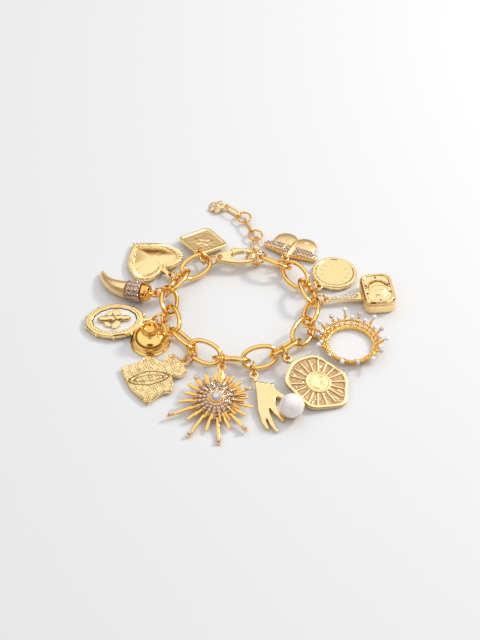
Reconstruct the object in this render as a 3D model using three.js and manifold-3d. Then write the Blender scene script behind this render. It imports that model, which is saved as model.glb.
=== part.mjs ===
// Charm bracelet, lying in a loop: big oval links, a lobster clasp, an extender
// chain, and thirteen charms on jump rings. Millimetres, +Z up, resting on z = 0.
// The loop is worked out round its own centre; -Y is the side nearest the viewer.
import * as THREE from "three";
import { mergeVertices } from "three/addons/utils/BufferGeometryUtils.js";
import Module from "manifold-3d";

const wasm = await Module();
wasm.setup();

// Driving dimensions, in millimetres and degrees

const clearance = 0.3;              // between two pieces that hold or touch each other

// Main chain
const linkCount = 14;
const linkWire = 2.0;               // diameter
const linkHalfLength = 7.15;        // to the wire's centre line
const linkHalfWidth = 4.2;
const linkFullness = 2.25;          // 2 is an ellipse, more is squarer
const linkSlack = 0.8;              // how far a link's pitch stays under its full reach
const claspBearing = 94.6;          // where the clasp's middle lies round the loop
const linkLean = 45;                // each link leans over, the next one the other way

// Jump rings
const jumpWire = 0.9;
const jumpInside = 4.8;             // inside diameter
const bigJumpInside = 6.4;          // the tag's
const tailRingInside = 5.4;
const endRingInside = 7.4;          // the ring that the clasp hooks into
const bellRingWidth = 5.0;          // inside width of the bell's oval ring

// Eyelets on the charms
const eyeletHole = 2.1;
const eyeletWall = 0.85;
const eyeletThickness = 1.3;

// Clasp
const claspLength = 17.4;
const claspWidth = 7.8;
const claspThickness = 2.8;
const claspEyeHole = 2.7;
const claspWall = 1.7;              // width of the hook's bar
const claspLean = 14;               // towards the inside of the loop
const leverThickness = 1.2;
const pinDiameter = 0.8;
const thumbTab = 1.5;

// Extender
const smallWire = 0.9;
const smallLinkHalfLength = 4.3;
const smallLinkHalfWidth = 1.8;
const smallLinkFullness = 3;
const smallRingRadius = 3.0;
const flowerPetal = 1.55;           // radius of one petal

// Charms
const tagSide = 15.8;
const tagThickness = 1.5;
const heartStem = 2.2;              // eyelet to the heart's lobes
const heartLength = 24;
const heartWidth = 25;
const heartThickness = 1.6;
const heartPuff = 2.2;
const heartBorder = 2.9;            // width of the flat border round the puff
const hornLength = 18.8;
const hornRadius = 3.7;
const hornTurn = 64;                // degrees that the horn curves through
const collarLength = 6.4;
const collarRadius = 4.5;
const capLength = 3.6;
const capRadius = 3.9;
const ovalStem = 2.1;               // eyelet's stem outside the frame
const ovalLength = 25;
const ovalWidth = 18.6;
const ovalRim = 3.0;
const ovalThickness = 2.6;
const inlayThickness = 1.0;
const beeLength = 11;
const bellRadius = 8.3;
const bellHeight = 9.4;
const bellWall = 0.8;
const plaqueLength = 24.8;
const plaqueWidth = 22.6;
const plaqueThickness = 1.8;
const starRadius = 21;
const starHub = 5.2;
const starTurn = -7;                // degrees, of its rays round the middle
const starStone = 4.6;              // diameter of the middle stone
const handLength = 25;
const handStem = 4.4;               // eyelet to the wrist, along the hand
const handOffset = 3.2;             // and to the wrist's middle, across it
const handThickness = 1.9;
const pearlDiameter = 10;
const sunRadius = 14.4;
const sunThickness = 1.9;
const sunRibs = 18;
const sunDisc = 5.2;                // radius of the middle disc
const crownRadius = 10.4;           // outside of the base ring
const crownStem = 0.4;              // eyelet's stem outside the ring
const crownBand = 1.2;              // wall of the base ring
const crownPoints = 14;
const crownHeight = 6.4;
const crownFlare = 4.6;             // how far the points lean out
const crownPearl = 1.15;            // radius
const locketBail = 14;              // length of the stone-set bail
const locketLength = 13.6;
const locketWidth = 17.6;
const locketThickness = 7.2;
const locketCorner = 4.2;
const discRadius = 9.6;
const discThickness = 2.0;
const wingSpan = 24;
const wingChord = 9.6;              // from the eyelet to the forewings' back edge
const hindwing = 4.8;               // radius
const wingThickness = 1.7;

const wireSides = 6;
const smallWireSides = 5;

// Materials

const finishes = {
  polished: new THREE.MeshStandardMaterial({ color: 0xf2b83c, metalness: 1, roughness: 0.12 }),
  satin: new THREE.MeshStandardMaterial({ color: 0xf3d489, metalness: 1, roughness: 0.38 }),
  pave: new THREE.MeshStandardMaterial({ color: 0xe2c2a2, metalness: 0.8, roughness: 0.3 }),
  pearl: new THREE.MeshStandardMaterial({ color: 0xf4efec, metalness: 0, roughness: 0.2 }),
  shell: new THREE.MeshStandardMaterial({ color: 0xf3f1ec, metalness: 0, roughness: 0.25 }),
};

// Shapes

const rad = THREE.MathUtils.degToRad;

function place(x = 0, y = 0, z = 0, turn = 0, pitch = 0, roll = 0) {
  const spin = new THREE.Euler(rad(roll), rad(pitch), rad(turn), "ZYX");
  return new THREE.Matrix4().makeRotationFromEuler(spin).setPosition(x, y, z);
}

// A closed three.js geometry as a solid that can be joined and cut.
function solid(geometry, matrix = new THREE.Matrix4()) {
  const g = geometry.clone();
  g.deleteAttribute("normal");
  g.deleteAttribute("uv");
  g.applyMatrix4(matrix);
  const closed = mergeVertices(g, 1e-4);
  const mesh = new wasm.Mesh({
    numProp: 3,
    vertProperties: closed.attributes.position.array,
    triVerts: new Uint32Array(closed.index.array),
  });
  return new wasm.Manifold(mesh);
}

function join(list) {
  return list.reduce((all, next) => all.add(next));
}

function geometryOf(body) {
  const { vertProperties, triVerts } = body.getMesh();
  const g = new THREE.BufferGeometry();
  g.setAttribute("position", new THREE.BufferAttribute(vertProperties, 3));
  g.setIndex(new THREE.BufferAttribute(triVerts, 1));
  const flat = g.toNonIndexed();
  flat.computeVertexNormals();
  return flat;
}

// A flat shape given a thickness, from z = low up, with rounded edges where asked.
function plate(shape, low, thickness, round = 0, roundSteps = 1, curveSegments = 6) {
  const depth = thickness - 2 * round;
  const bevel = { bevelThickness: round, bevelSize: round, bevelOffset: -round, bevelSegments: roundSteps };
  const g = new THREE.ExtrudeGeometry(shape, {
    depth, curveSegments, bevelEnabled: round > 0, ...(round > 0 ? bevel : {}),
  });
  return solid(g, place(0, 0, low + round));
}

function drum(radius, low, height, x = 0, y = 0, sides = 14, topRadius = radius) {
  const g = new THREE.CylinderGeometry(topRadius, radius, height, sides);
  g.rotateX(Math.PI / 2);
  return solid(g, place(x, y, low + height / 2));
}

function block(length, width, height, x, y, z, turn = 0, pitch = 0) {
  return solid(new THREE.BoxGeometry(length, width, height), place(x, y, z, turn, pitch));
}

function ball(radius, x, y, z, sides = 8, stretch = [1, 1, 1], turn = 0) {
  const g = new THREE.SphereGeometry(radius, sides, Math.ceil(sides / 2));
  g.rotateX(Math.PI / 2);
  g.scale(...stretch);
  return solid(g, place(x, y, z, turn));
}

// A cut stone: a flat table, a sloping crown of facets, a girdle and a pavilion.
function gem(radius, x, y, z, facets = 8) {
  const profile = [
    new THREE.Vector2(0, -0.6 * radius),
    new THREE.Vector2(radius, 0),
    new THREE.Vector2(0.58 * radius, 0.42 * radius),
    new THREE.Vector2(0, 0.42 * radius),
  ];
  const g = new THREE.LatheGeometry(profile, facets);
  g.rotateX(Math.PI / 2);
  return solid(g, place(x, y, z));
}

function turned(profile, sides, matrix) {
  const g = new THREE.LatheGeometry(profile.map(([r, z]) => new THREE.Vector2(r, z)), sides);
  g.rotateX(Math.PI / 2);
  return solid(g, matrix);
}

// A closed wire loop in its own flat plane: a torus whose big circle is drawn out
// to halfLength along x and halfWidth along y.
function wireLoop(halfLength, halfWidth, wire, steps, sides, fullness = 2) {
  const g = new THREE.TorusGeometry(1, 0.5, sides, steps);
  const at = g.attributes.position;
  const along = (a) => new THREE.Vector2(
    halfLength * Math.sign(Math.cos(a)) * Math.abs(Math.cos(a)) ** (2 / fullness),
    halfWidth * Math.sign(Math.sin(a)) * Math.abs(Math.sin(a)) ** (2 / fullness),
  );
  for (let i = 0; i < at.count; i += 1) {
    const around = Math.round(g.attributes.uv.getX(i) * steps) % steps;
    const across = Math.round(g.attributes.uv.getY(i) * sides) % sides;
    const a = (around + 0.5) / steps * 2 * Math.PI;
    const ahead = along(a + 0.01).sub(along(a - 0.01)).normalize();
    const out = new THREE.Vector2(ahead.y, -ahead.x);
    const b = (across + 0.5) / sides * 2 * Math.PI;
    const centre = along(a);
    const reach = wire / 2 * Math.cos(b);
    at.setXYZ(i, centre.x + out.x * reach, centre.y + out.y * reach, wire / 2 * Math.sin(b));
  }
  return solid(g);
}

// A solid through outlines of equally many points, one above the other, the lowest first.
// Each outline runs anticlockwise.
function loft(levels) {
  const count = levels[0].points.length;
  const corners = levels.flatMap(({ points, z }) => points.flatMap((p) => [p.x, p.y, z]));
  const faces = [];
  for (let i = 0; i < levels.length - 1; i += 1) {
    for (let j = 0; j < count; j += 1) {
      const [a, b] = [i * count + j, i * count + (j + 1) % count];
      faces.push(a, b, b + count, a, b + count, a + count);
    }
  }
  const top = (levels.length - 1) * count;
  THREE.ShapeUtils.triangulateShape(levels[0].points, []).forEach(([a, b, c]) => {
    faces.push(a, c, b, top + a, top + b, top + c);
  });
  const g = new THREE.BufferGeometry();
  g.setAttribute("position", new THREE.Float32BufferAttribute(corners, 3));
  g.setIndex(faces);
  return solid(g);
}

// A round bar whose middle line and radius change along it.
function taperedBar(steps, sides, centreAt, radiusAt) {
  const g = new THREE.CylinderGeometry(1, 1, 1, sides, steps);
  const at = g.attributes.position;
  for (let i = 0; i < at.count; i += 1) {
    const share = Math.min(1, Math.max(0, at.getY(i) + 0.5));
    const here = centreAt(share);
    const ahead = centreAt(Math.min(1, share + 0.01)).sub(centreAt(Math.max(0, share - 0.01))).normalize();
    const side = new THREE.Vector3(-ahead.y, ahead.x, 0).normalize();
    const up = new THREE.Vector3().crossVectors(ahead, side);
    const r = radiusAt(share);
    here.addScaledVector(side, at.getX(i) * r).addScaledVector(up, -at.getZ(i) * r);
    at.setXYZ(i, here.x, here.y, here.z);
  }
  return solid(g);
}

function outline(points) {
  const shape = new THREE.Shape();
  points.forEach(([x, y], i) => (i ? shape.lineTo(x, y) : shape.moveTo(x, y)));
  shape.closePath();
  return shape;
}

function ellipseShape(halfLength, halfWidth, x = 0, y = 0) {
  const shape = new THREE.Shape();
  shape.absellipse(x, y, halfLength, halfWidth, 0, 2 * Math.PI);
  return shape;
}

// A polygon with rounded corners.
function roundedPolygon(corners, round) {
  const shape = new THREE.Shape();
  corners.forEach((corner, i) => {
    const before = corners[(i + corners.length - 1) % corners.length];
    const after = corners[(i + 1) % corners.length];
    const start = corner.clone().add(before.clone().sub(corner).setLength(round));
    const end = corner.clone().add(after.clone().sub(corner).setLength(round));
    if (i === 0) shape.moveTo(start.x, start.y);
    else shape.lineTo(start.x, start.y);
    shape.quadraticCurveTo(corner.x, corner.y, end.x, end.y);
  });
  shape.closePath();
  return shape;
}

function polygonCorners(count, radius, x = 0, y = 0, first = 0) {
  return Array.from({ length: count }, (_, i) => {
    const a = rad(first + 360 / count * i);
    return new THREE.Vector2(x + radius * Math.cos(a), y + radius * Math.sin(a));
  });
}

function rectangleCorners(length, width, x = 0, y = 0) {
  const [l, w] = [length / 2, width / 2];
  return [[l, w], [-l, w], [-l, -w], [l, -w]].map(([a, b]) => new THREE.Vector2(x + a, y + b));
}

// Where the chain lies

const linkRadius = linkWire / 2;
const jumpRadius = (jumpInside + jumpWire) / 2;
const bigJumpRadius = (bigJumpInside + jumpWire) / 2;
const eyeletRadius = eyeletHole / 2 + eyeletWall;
const pitch = 2 * linkHalfLength - linkWire - linkSlack;

// The clasp lies on a straight line between the tips of the first and last links.
const claspEye = 2.0;                                       // hole's centre from the tail
const hookSlack = 1.1;                                      // more play than the clearance, at the hook
const tailRingRadius = (tailRingInside + jumpWire) / 2;
const hookInside = claspLength - claspWall;
const endRingRadius = (endRingInside + jumpWire) / 2;
const tailReach = tailRingRadius + tailRingInside / 2 - linkRadius - 1.5 * clearance;
const hookReach = endRingRadius + endRingInside / 2 - linkRadius - clearance - hookSlack;
const endRingAt = hookInside - clearance - hookSlack - jumpWire / 2;
const claspSpan = tailReach + (endRingAt - claspEye) + hookReach;

// The loop's radius, from its links' pitch and the clasp's span.
function loopRadius() {
  const gapLeft = (radius) => {
    const half = Math.PI - (linkCount - 1) * Math.asin(pitch / 2 / radius);
    return radius * Math.sin(half) - linkHalfLength * Math.cos(half) - claspSpan / 2;
  };
  let low = pitch * linkCount / 2 / Math.PI;
  let high = 3 * low;
  for (let i = 0; i < 60; i += 1) {
    const middle = (low + high) / 2;
    if (gapLeft(middle) < 0) low = middle;
    else high = middle;
  }
  return (low + high) / 2;
}

const chainRadius = loopRadius();
const linkStep = 2 * THREE.MathUtils.radToDeg(Math.asin(pitch / 2 / chainRadius));
const claspHalfAngle = 180 - (linkCount - 1) * linkStep / 2;

// The chain is carried clear of the floor by the jump rings under its low wires.
const wireDrop = Math.sin(rad(linkLean)) * linkHalfWidth;
const chainHeight = jumpWire + clearance + linkRadius + wireDrop + 0.2;

function linkAt(number) {
  const bearing = claspBearing + claspHalfAngle + (number - 1) * linkStep;
  const odd = number % 2 === 1;
  const outward = new THREE.Vector3(Math.cos(rad(bearing)), Math.sin(rad(bearing)), 0);
  const ahead = new THREE.Vector3(-outward.y, outward.x, 0);
  const rise = (odd ? 1 : -1) * Math.sin(rad(linkLean));
  const wide = outward.clone().multiplyScalar(Math.cos(rad(linkLean)));
  wide.z = rise;
  const facing = new THREE.Vector3().crossVectors(ahead, wide);
  const centre = outward.clone().multiplyScalar(chainRadius);
  centre.z = chainHeight;
  const matrix = new THREE.Matrix4().makeBasis(ahead, wide, facing).setPosition(centre);
  return { number, bearing, outward, ahead, wide, centre, matrix };
}

// A point on a link's outer wire; spread is the angle round the oval from its middle.
function wirePoint(link, spread) {
  const power = 2 / linkFullness;
  const [s, c] = [Math.sin(rad(spread)), Math.cos(rad(spread))];
  const run = linkHalfLength * Math.sign(s) * Math.abs(s) ** power;
  const out = linkHalfWidth * Math.abs(c) ** power;
  return link.centre.clone().addScaledVector(link.ahead, run).addScaledVector(link.wide, out);
}

// A jump ring stands on edge round a link's wire, facing out along its own heading.
// grip is the height of the charm's eyelet above the ring's centre.
function jumpOn(link, spread, heading, grip, radius) {
  const wire = wirePoint(link, spread);
  const out = new THREE.Vector3(Math.cos(rad(heading)), Math.sin(rad(heading)), 0);
  const room = radius - jumpWire / 2 - linkRadius - clearance / 2;
  const floorHeight = radius + jumpWire / 2;
  const centre = wire.clone();
  centre.z = Math.max(floorHeight, wire.z - 0.8 * room);
  const rise = Math.min(Math.abs(wire.z - centre.z), room);
  centre.addScaledVector(out, Math.sqrt(room * room - rise * rise) * 0.85);
  const matrix = place(centre.x, centre.y, centre.z, heading, 0, 90);
  const eyelet = centre.clone().addScaledVector(out, Math.sqrt(radius ** 2 - grip ** 2));
  eyelet.z += grip;
  return { centre, matrix, eyelet, heading };
}

// Charms, each with its eyelet's hole at the origin and its far end along +x

function withEyelet(body, low = -eyeletThickness / 2, thickness = eyeletThickness) {
  const boss = drum(eyeletRadius, low, thickness);
  const hole = drum(eyeletHole / 2, low - 5, thickness + 10);
  return body.add(boss).subtract(hole);
}

function star(points, outer, inner, x, y, low, height, first = 0) {
  const corners = Array.from({ length: 2 * points }, (_, i) => {
    const r = i % 2 ? inner : outer;
    const a = rad(first + 180 / points * i);
    return [x + r * Math.cos(a), y + r * Math.sin(a)];
  });
  return plate(outline(corners), low, height);
}

function makeTag() {
  const half = tagSide / Math.SQRT2;
  const x = half - eyeletRadius - 0.4;
  const low = -tagThickness / 2;
  const body = plate(roundedPolygon(polygonCorners(4, half, x), 2.2), low, tagThickness, 0, 1, 3);
  const inner = roundedPolygon(polygonCorners(4, half - 1.5, x), 1.4);
  const field = plate(inner, low + tagThickness - 0.4, 1, 0, 1, 3);
  const petals = [0, 1, 2, 3].map((i) => {
    const turn = 45 + 90 * i;
    const [px, py] = [x + 2.1 * Math.cos(rad(turn)), 2.1 * Math.sin(rad(turn))];
    return ball(1.5, px, py, low + tagThickness - 0.5, 8, [1.3, 0.8, 0.35], turn);
  });
  const top = join([body.subtract(field), ...petals]);
  return [{ name: "tag", finish: "satin", body: withEyelet(top, low, tagThickness) }];
}

// A heart with its cleft towards the eyelet.
function heartShape(length, width, x) {
  const shape = new THREE.Shape();
  const w = width / 2;
  const cleft = x + 0.14 * length;
  shape.moveTo(cleft, 0);
  shape.bezierCurveTo(x, 0.12 * w, x - 0.05 * length, 0.8 * w, x + 0.2 * length, 0.98 * w);
  shape.bezierCurveTo(x + 0.42 * length, 1.1 * w, x + 0.72 * length, 0.55 * w, x + length, 0);
  shape.bezierCurveTo(x + 0.72 * length, -0.55 * w, x + 0.42 * length, -1.1 * w, x + 0.2 * length, -0.98 * w);
  shape.bezierCurveTo(x - 0.05 * length, -0.8 * w, x, -0.12 * w, cleft, 0);
  return shape;
}

function makeHeart() {
  const start = heartStem;
  const low = -eyeletThickness / 2;
  const rim = plate(heartShape(heartLength, heartWidth, start), low, heartThickness + 0.6, 0.5, 1, 6);
  const inset = heartBorder - clearance;
  const hollow = heartShape(heartLength - 2 * inset, heartWidth - 2 * inset, start + inset);
  const field = plate(hollow, low + heartThickness - 0.2, 3, 0, 1, 5);
  // The puff rises from the field in steps of ever smaller hearts about one middle.
  const puffFoot = low + heartThickness - 0.4;
  const puffMiddle = start + 0.5 * heartLength;
  const foot = { length: heartLength - 2 * heartBorder, width: heartWidth - 2 * heartBorder };
  const dome = loft([[1, 0], [1, 0.2], [0.84, 0.66], [0.6, 0.9], [0.3, 1]].map(([share, height]) => {
    const [length, width] = [share * foot.length, share * foot.width];
    const shape = heartShape(length, width, puffMiddle - 0.5 * length);
    return { points: shape.getPoints(5).slice(1).reverse(), z: puffFoot + height * heartPuff };
  }));
  const scrolls = [-1, 1].flatMap((side) => [0, 1, 2].map((i) => (
    ball(1.1, start + 5.6 + 1.5 * i, side * (7.6 - 0.5 * i), low + heartThickness, 6, [1, 1, 0.6])
  )));
  const stemLength = 0.2 * heartLength + heartStem;
  const stem = block(stemLength, 1.8, eyeletThickness, stemLength / 2, 0, 0);
  const body = join([rim.subtract(field), dome, ...scrolls, stem]);
  return [{ name: "heart", finish: "polished", body: withEyelet(body) }];
}

function makeHorn() {
  const capStart = eyeletRadius + 0.3;
  const collarStart = capStart + capLength + clearance;
  const hornStart = collarStart + collarLength + clearance;
  const along = (profile) => solid(
    new THREE.LatheGeometry(profile.map(([r, x]) => new THREE.Vector2(r, x)), 14),
    new THREE.Matrix4().makeRotationZ(-Math.PI / 2),
  );
  const cap = along([
    [0, capStart], [0.55 * capRadius, capStart], [0.85 * capRadius, capStart + 0.2 * capLength],
    [capRadius, capStart + 0.5 * capLength], [capRadius, capStart + capLength], [0, capStart + capLength],
  ]);
  const ridges = 3;
  const rings = Array.from({ length: ridges }, (_, i) => {
    const from = collarStart + collarLength / ridges * i;
    const to = from + collarLength / ridges;
    const [first, second] = [(2 * from + to) / 3, (from + 2 * to) / 3];
    const groove = collarRadius - 0.35;
    return [[groove, from], [collarRadius, first], [collarRadius, second], [groove, to]];
  }).flat();
  const collar = along([[0, collarStart], ...rings, [0, collarStart + collarLength]]
    .filter(([r, x], i, all) => i === 0 || r !== all[i - 1][0] || x !== all[i - 1][1]));
  const bend = hornLength / rad(hornTurn);
  const drop = 0.55 * hornRadius;                            // its underside stays near the floor
  const horn = taperedBar(9, 10, (s) => new THREE.Vector3(
    hornStart + bend * Math.sin(rad(hornTurn) * s),
    -bend * (1 - Math.cos(rad(hornTurn) * s)),
    -drop * s * s,
  ), (s) => hornRadius * (1 - 0.72 * s ** 1.25));
  const neck = block(capStart + 1, 1.8, eyeletThickness, (capStart + 1) / 2, 0, 0);
  return [
    { name: "horn_cap", finish: "polished", body: withEyelet(cap.add(neck)) },
    { name: "horn_collar", finish: "pave", body: collar },
    { name: "horn", finish: "satin", body: horn },
  ];
}

function makeOval() {
  const [a, b] = [ovalLength / 2, ovalWidth / 2];
  const x = a + eyeletRadius - 0.3 + ovalStem;
  const low = -ovalThickness / 2;
  const ring = plate(ellipseShape(a, b, x), low, ovalThickness, 0.6, 1, 8);
  const window = plate(ellipseShape(a - ovalRim, b - 0.8 * ovalRim, x), low + 0.7, ovalThickness, 0, 1, 7);
  const studs = Array.from({ length: 10 }, (_, i) => {
    const t = rad(180 + 36 * (i + 0.5));
    return ball(0.75, x + (a + 0.2) * Math.cos(t), (b + 0.2) * Math.sin(t), 0, 5);
  });
  const stem = block(ovalStem + 2.4, 1.6, eyeletThickness, (ovalStem + 2.4) / 2 + 0.5, 0, 0);
  const frame = withEyelet(join([ring.subtract(window), ...studs, stem]));
  const inner = ellipseShape(a - ovalRim - clearance, b - 0.8 * ovalRim - clearance, x);
  const inlay = plate(inner, low + 0.7 + clearance, inlayThickness, 0, 1, 7);
  const top = low + 0.7 + 2 * clearance + inlayThickness;
  const half = beeLength / 2;
  const body = [
    ball(1.5, x - 0.62 * half, 0, top + 0.7, 8, [1, 1, 0.7]),
    ball(1.7, x - 0.25 * half, 0, top + 0.9, 8, [1, 1, 0.75]),
    ball(1.8, x + 0.4 * half, 0, top + 0.8, 8, [1.7, 1, 0.65]),
  ];
  const wings = [-1, 1].flatMap((side) => [
    ball(2.9, x - 0.1 * half, side * 3.2, top + 0.45, 6, [0.5, 1, 0.15], -side * 14),
    ball(2.2, x + 0.35 * half, side * 2.7, top + 0.4, 6, [0.5, 1, 0.15], side * 24),
  ]);
  const below = block(4 * beeLength, 4 * beeLength, 4, x, 0, top - 2);
  return [
    { name: "oval_frame", finish: "polished", body: frame },
    { name: "oval_inlay", finish: "shell", body: inlay },
    { name: "oval_bee", finish: "polished", body: join([...body, ...wings]).subtract(below) },
  ];
}

const bellLugAt = 0.3 * bellRadius + 0.9;                   // from the bell's axis, towards the chain

// The bell stands mouth down, so it is built round its own axis from the floor up.
function makeBell() {
  const r = bellRadius;
  const h = bellHeight;
  const outer = [
    [r, 0], [r, 0.09 * h], [0.83 * r, 0.17 * h], [0.68 * r, 0.34 * h], [0.58 * r, 0.52 * h],
    [0.46 * r, 0.6 * h], [0.46 * r, 0.66 * h], [0.2 * r, 0.7 * h], [0.16 * r, 0.86 * h],
    [0.3 * r, 0.9 * h], [0.3 * r, h], [0, h],
  ];
  const inner = [
    [0, 0.6 * h - bellWall], [0.46 * r, 0.52 * h - bellWall / 2], [0.58 * r - bellWall, 0.4 * h],
    [0.68 * r - bellWall, 0.3 * h], [0.83 * r - bellWall, 0.14 * h], [r - bellWall, 0],
  ];
  const cup = turned([...inner, ...outer], 16);
  const arm = block(1.8, bellLugAt, 1.1, 0, bellLugAt / 2, h - 0.75);
  const lug = drum(eyeletRadius, h - 1.3, 1.1, 0, bellLugAt, 12).add(arm);
  return cup.add(lug).subtract(drum(eyeletHole / 2, h - 3, 4, 0, bellLugAt, 12));
}

function makePlaque() {
  const [l, w] = [plaqueLength, plaqueWidth / 2];
  const low = -plaqueThickness / 2;
  // Half the shield's edge, from its crest to its foot, as shares of length and half width.
  const edge = [
    { x: 0.02, y: 0.16 }, { x: 0.05, y: 0.5 }, { x: 0.2, y: 0.55 }, { x: 0.3, y: 0.36 },
    { x: 0.36, y: 0.72 }, { x: 0.46, y: 0.98 }, { x: 0.6, y: 0.86 }, { x: 0.78, y: 0.92 },
    { x: 0.92, y: 1 }, { x: 0.97, y: 0.6 }, { x: 1, y: 0.2 },
  ];
  const half = edge.map(({ x, y }) => [1 + x * l, y * w]);
  const otherHalf = half.map(([x, y]) => [x, -y]).reverse();
  const body = plate(outline([...half, ...otherHalf]), low, plaqueThickness, 0.35);
  const middle = 1 + 0.66 * l;
  const top = low + plaqueThickness;
  const almond = plate(ellipseShape(0.27 * l, 0.34 * w, middle), top - 0.3, 0.9, 0, 1, 5)
    .subtract(plate(ellipseShape(0.27 * l - 0.8, 0.34 * w - 0.8, middle), top - 1, 3, 0, 1, 5));
  const heart = ball(1.5, middle, 0, top, 8, [2.2, 0.9, 0.5]);
  const crest = [-1.6, 0, 1.6].map((i) => (
    ball(1.25, 1 + 0.14 * l + 0.3 * Math.abs(i), 0.2 * w * i, top, 6, [1, 1, 0.8])
  ));
  const leaves = [-1, 1].flatMap((side) => [0, 1, 2].map((i) => (
    ball(1.3, middle - 4.6 + 4.6 * i, side * 0.68 * w, top, 6, [1.5, 0.7, 0.45], side * 28)
  )));
  const whole = join([body, almond, heart, ...crest, ...leaves]);
  return [{ name: "plaque", finish: "satin", body: withEyelet(whole) }];
}

// Reach of each ray as a share of the whole, round the star from the one at the eyelet.
const rayReach = [
  0.58, 0.58, 0.6, 0.68, 0.64, 0.62, 0.72, 1, 0.7, 0.98,
  0.72, 1, 0.7, 0.92, 0.66, 0.7, 0.6, 0.7, 0.6, 0.6,
];

function makeStar() {
  const x = 0.62 * starRadius + eyeletRadius;
  const low = -0.9;
  const rays = rayReach.map((share, i) => {
    const turn = 180 + starTurn + 360 / rayReach.length * i;
    const reach = starRadius * share;
    const from = 0.85 * starHub;
    const bar = new THREE.BoxGeometry(reach - from, 1.25, 1.1);
    return solid(bar, place((reach + from) / 2, 0, 0).premultiply(place(x, 0, low + 1.1, turn, 1.5)));
  });
  const tips = [3, 7, 9, 11, 13, 17].map((i) => {
    const turn = rad(180 + starTurn + 360 / rayReach.length * i);
    const reach = starRadius * rayReach[i] - 1.6;
    return gem(1.15, x + reach * Math.cos(turn), reach * Math.sin(turn), low + 1.3);
  });
  const step = drum(0.8 * starHub, low + 1.5, 0.8, x, 0, 12, 0.62 * starHub);
  const hub = drum(starHub, low, 1.8, x, 0, 12).add(step);
  const bezel = drum(0.62 * starStone, low + 2, 1.1, x, 0, 12, 0.58 * starStone);
  const stone = gem(starStone / 2, x, 0, low + 3.2);
  const bar = block(0.6 * starRadius, 1.8, eyeletThickness, 0.3 * starRadius + 0.8, 0, 0);
  const body = join([...rays, hub, bezel, bar, ...tips, stone]);
  return [{ name: "star", finish: "polished", body: withEyelet(body) }];
}

function makeHand() {
  const l = handLength;
  const low = -eyeletThickness / 2;
  // The flat hand's edge from the wrist round the thumb, as shares of its length.
  const edge = [
    { x: 0.0, y: -0.13 }, { x: 0.08, y: 0.15 }, { x: 0.2, y: 0.21 }, { x: 0.33, y: 0.33 },
    { x: 0.39, y: 0.35 }, { x: 0.4, y: 0.3 }, { x: 0.32, y: 0.17 }, { x: 0.45, y: 0.14 },
    { x: 0.62, y: 0.17 }, { x: 0.79, y: 0.24 }, { x: 0.82, y: 0.2 }, { x: 0.64, y: 0.08 },
    { x: 0.5, y: 0.02 }, { x: 0.66, y: 0.03 }, { x: 0.86, y: 0.08 }, { x: 0.99, y: 0.11 },
    { x: 1.0, y: 0.06 }, { x: 0.86, y: -0.01 }, { x: 0.62, y: -0.06 }, { x: 0.8, y: -0.05 },
    { x: 0.93, y: -0.02 }, { x: 0.94, y: -0.07 }, { x: 0.8, y: -0.13 }, { x: 0.55, y: -0.16 },
    { x: 0.25, y: -0.14 },
  ];
  const palmEdge = edge.map(({ x, y }) => [x * l + handStem, y * l + handOffset]);
  const palm = plate(outline(palmEdge), low, handThickness, 0.25);
  const stem = block(handStem + 2, 1.6, eyeletThickness, handStem / 2 + 1, 0.4, 0);
  const band = Array.from({ length: 4 }, (_, i) => {
    const [bx, by] = [(0.02 + 0.022 * i) * l + handStem, (-0.11 + 0.08 * i) * l + handOffset];
    return ball(1.2, bx, by, low + 0.55 * handThickness, 6, [1.2, 1, 1.1]);
  });
  const r = pearlDiameter / 2;
  const px = 0.66 * l + handStem;
  const py = 0.37 * l + handOffset;
  const pz = low + r + 0.9;
  const cup = turned([
    [0, -r - 0.6], [0.5 * r, -r - 0.6], [0.8 * r, -0.55 * r - 0.6], [0.92 * r, -0.5 * r - clearance],
    [0.86 * r, -0.5 * r - clearance], [0.6 * r, -0.8 * r - clearance], [0, -r - clearance],
  ], 14, place(px, py, pz));
  const arm = block(0.12 * l, 1.4, 0.8, px + 0.04 * l, py - 0.165 * l, low + 0.4, 105);
  const pearl = ball(r, px, py, pz, 12);
  const hand = withEyelet(join([palm, stem, ...band, arm, cup]));
  return [
    { name: "hand", finish: "polished", body: hand },
    { name: "hand_pearl", finish: "pearl", body: pearl },
  ];
}

function makeSun() {
  const x = sunRadius + eyeletRadius;
  const low = -sunThickness / 2;
  // Corners of the shield round its middle, from the one that hangs: bearing and reach.
  const corners = [
    { at: 180, reach: 1 }, { at: 224, reach: 1 }, { at: 297, reach: 0.93 },
    { at: 0, reach: 1.06 }, { at: 63, reach: 0.93 }, { at: 136, reach: 1 },
  ];
  const shield = (inset) => roundedPolygon(corners.map(({ at, reach }) => {
    const r = sunRadius * reach - inset;
    return new THREE.Vector2(x + r * Math.cos(rad(at)), r * Math.sin(rad(at)));
  }), 3.4);
  const body = plate(shield(0), low, sunThickness, 0, 1, 3);
  const field = plate(shield(1.5), low + sunThickness - 0.6, 2, 0, 1, 3);
  const ribs = Array.from({ length: sunRibs }, (_, i) => {
    const turn = 360 / sunRibs * (i + 0.5);
    const middle = place(0.55 * sunRadius, 0, 0).premultiply(place(x, 0, low + sunThickness - 0.45, turn));
    return solid(new THREE.BoxGeometry(0.46 * sunRadius, 0.75, 0.7), middle);
  });
  const disc = drum(sunDisc, low + 0.4, sunThickness, x, 0, 16);
  const dish = drum(sunDisc - 0.7, low + sunThickness, 2, x, 0, 16);
  const stem = block(0.3 * sunRadius, 2, eyeletThickness, 0.15 * sunRadius, 0, 0);
  const top = join([body.subtract(field), ...ribs, disc, stem]).subtract(dish);
  return [{ name: "sun", finish: "satin", body: withEyelet(top, low, sunThickness) }];
}

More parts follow.
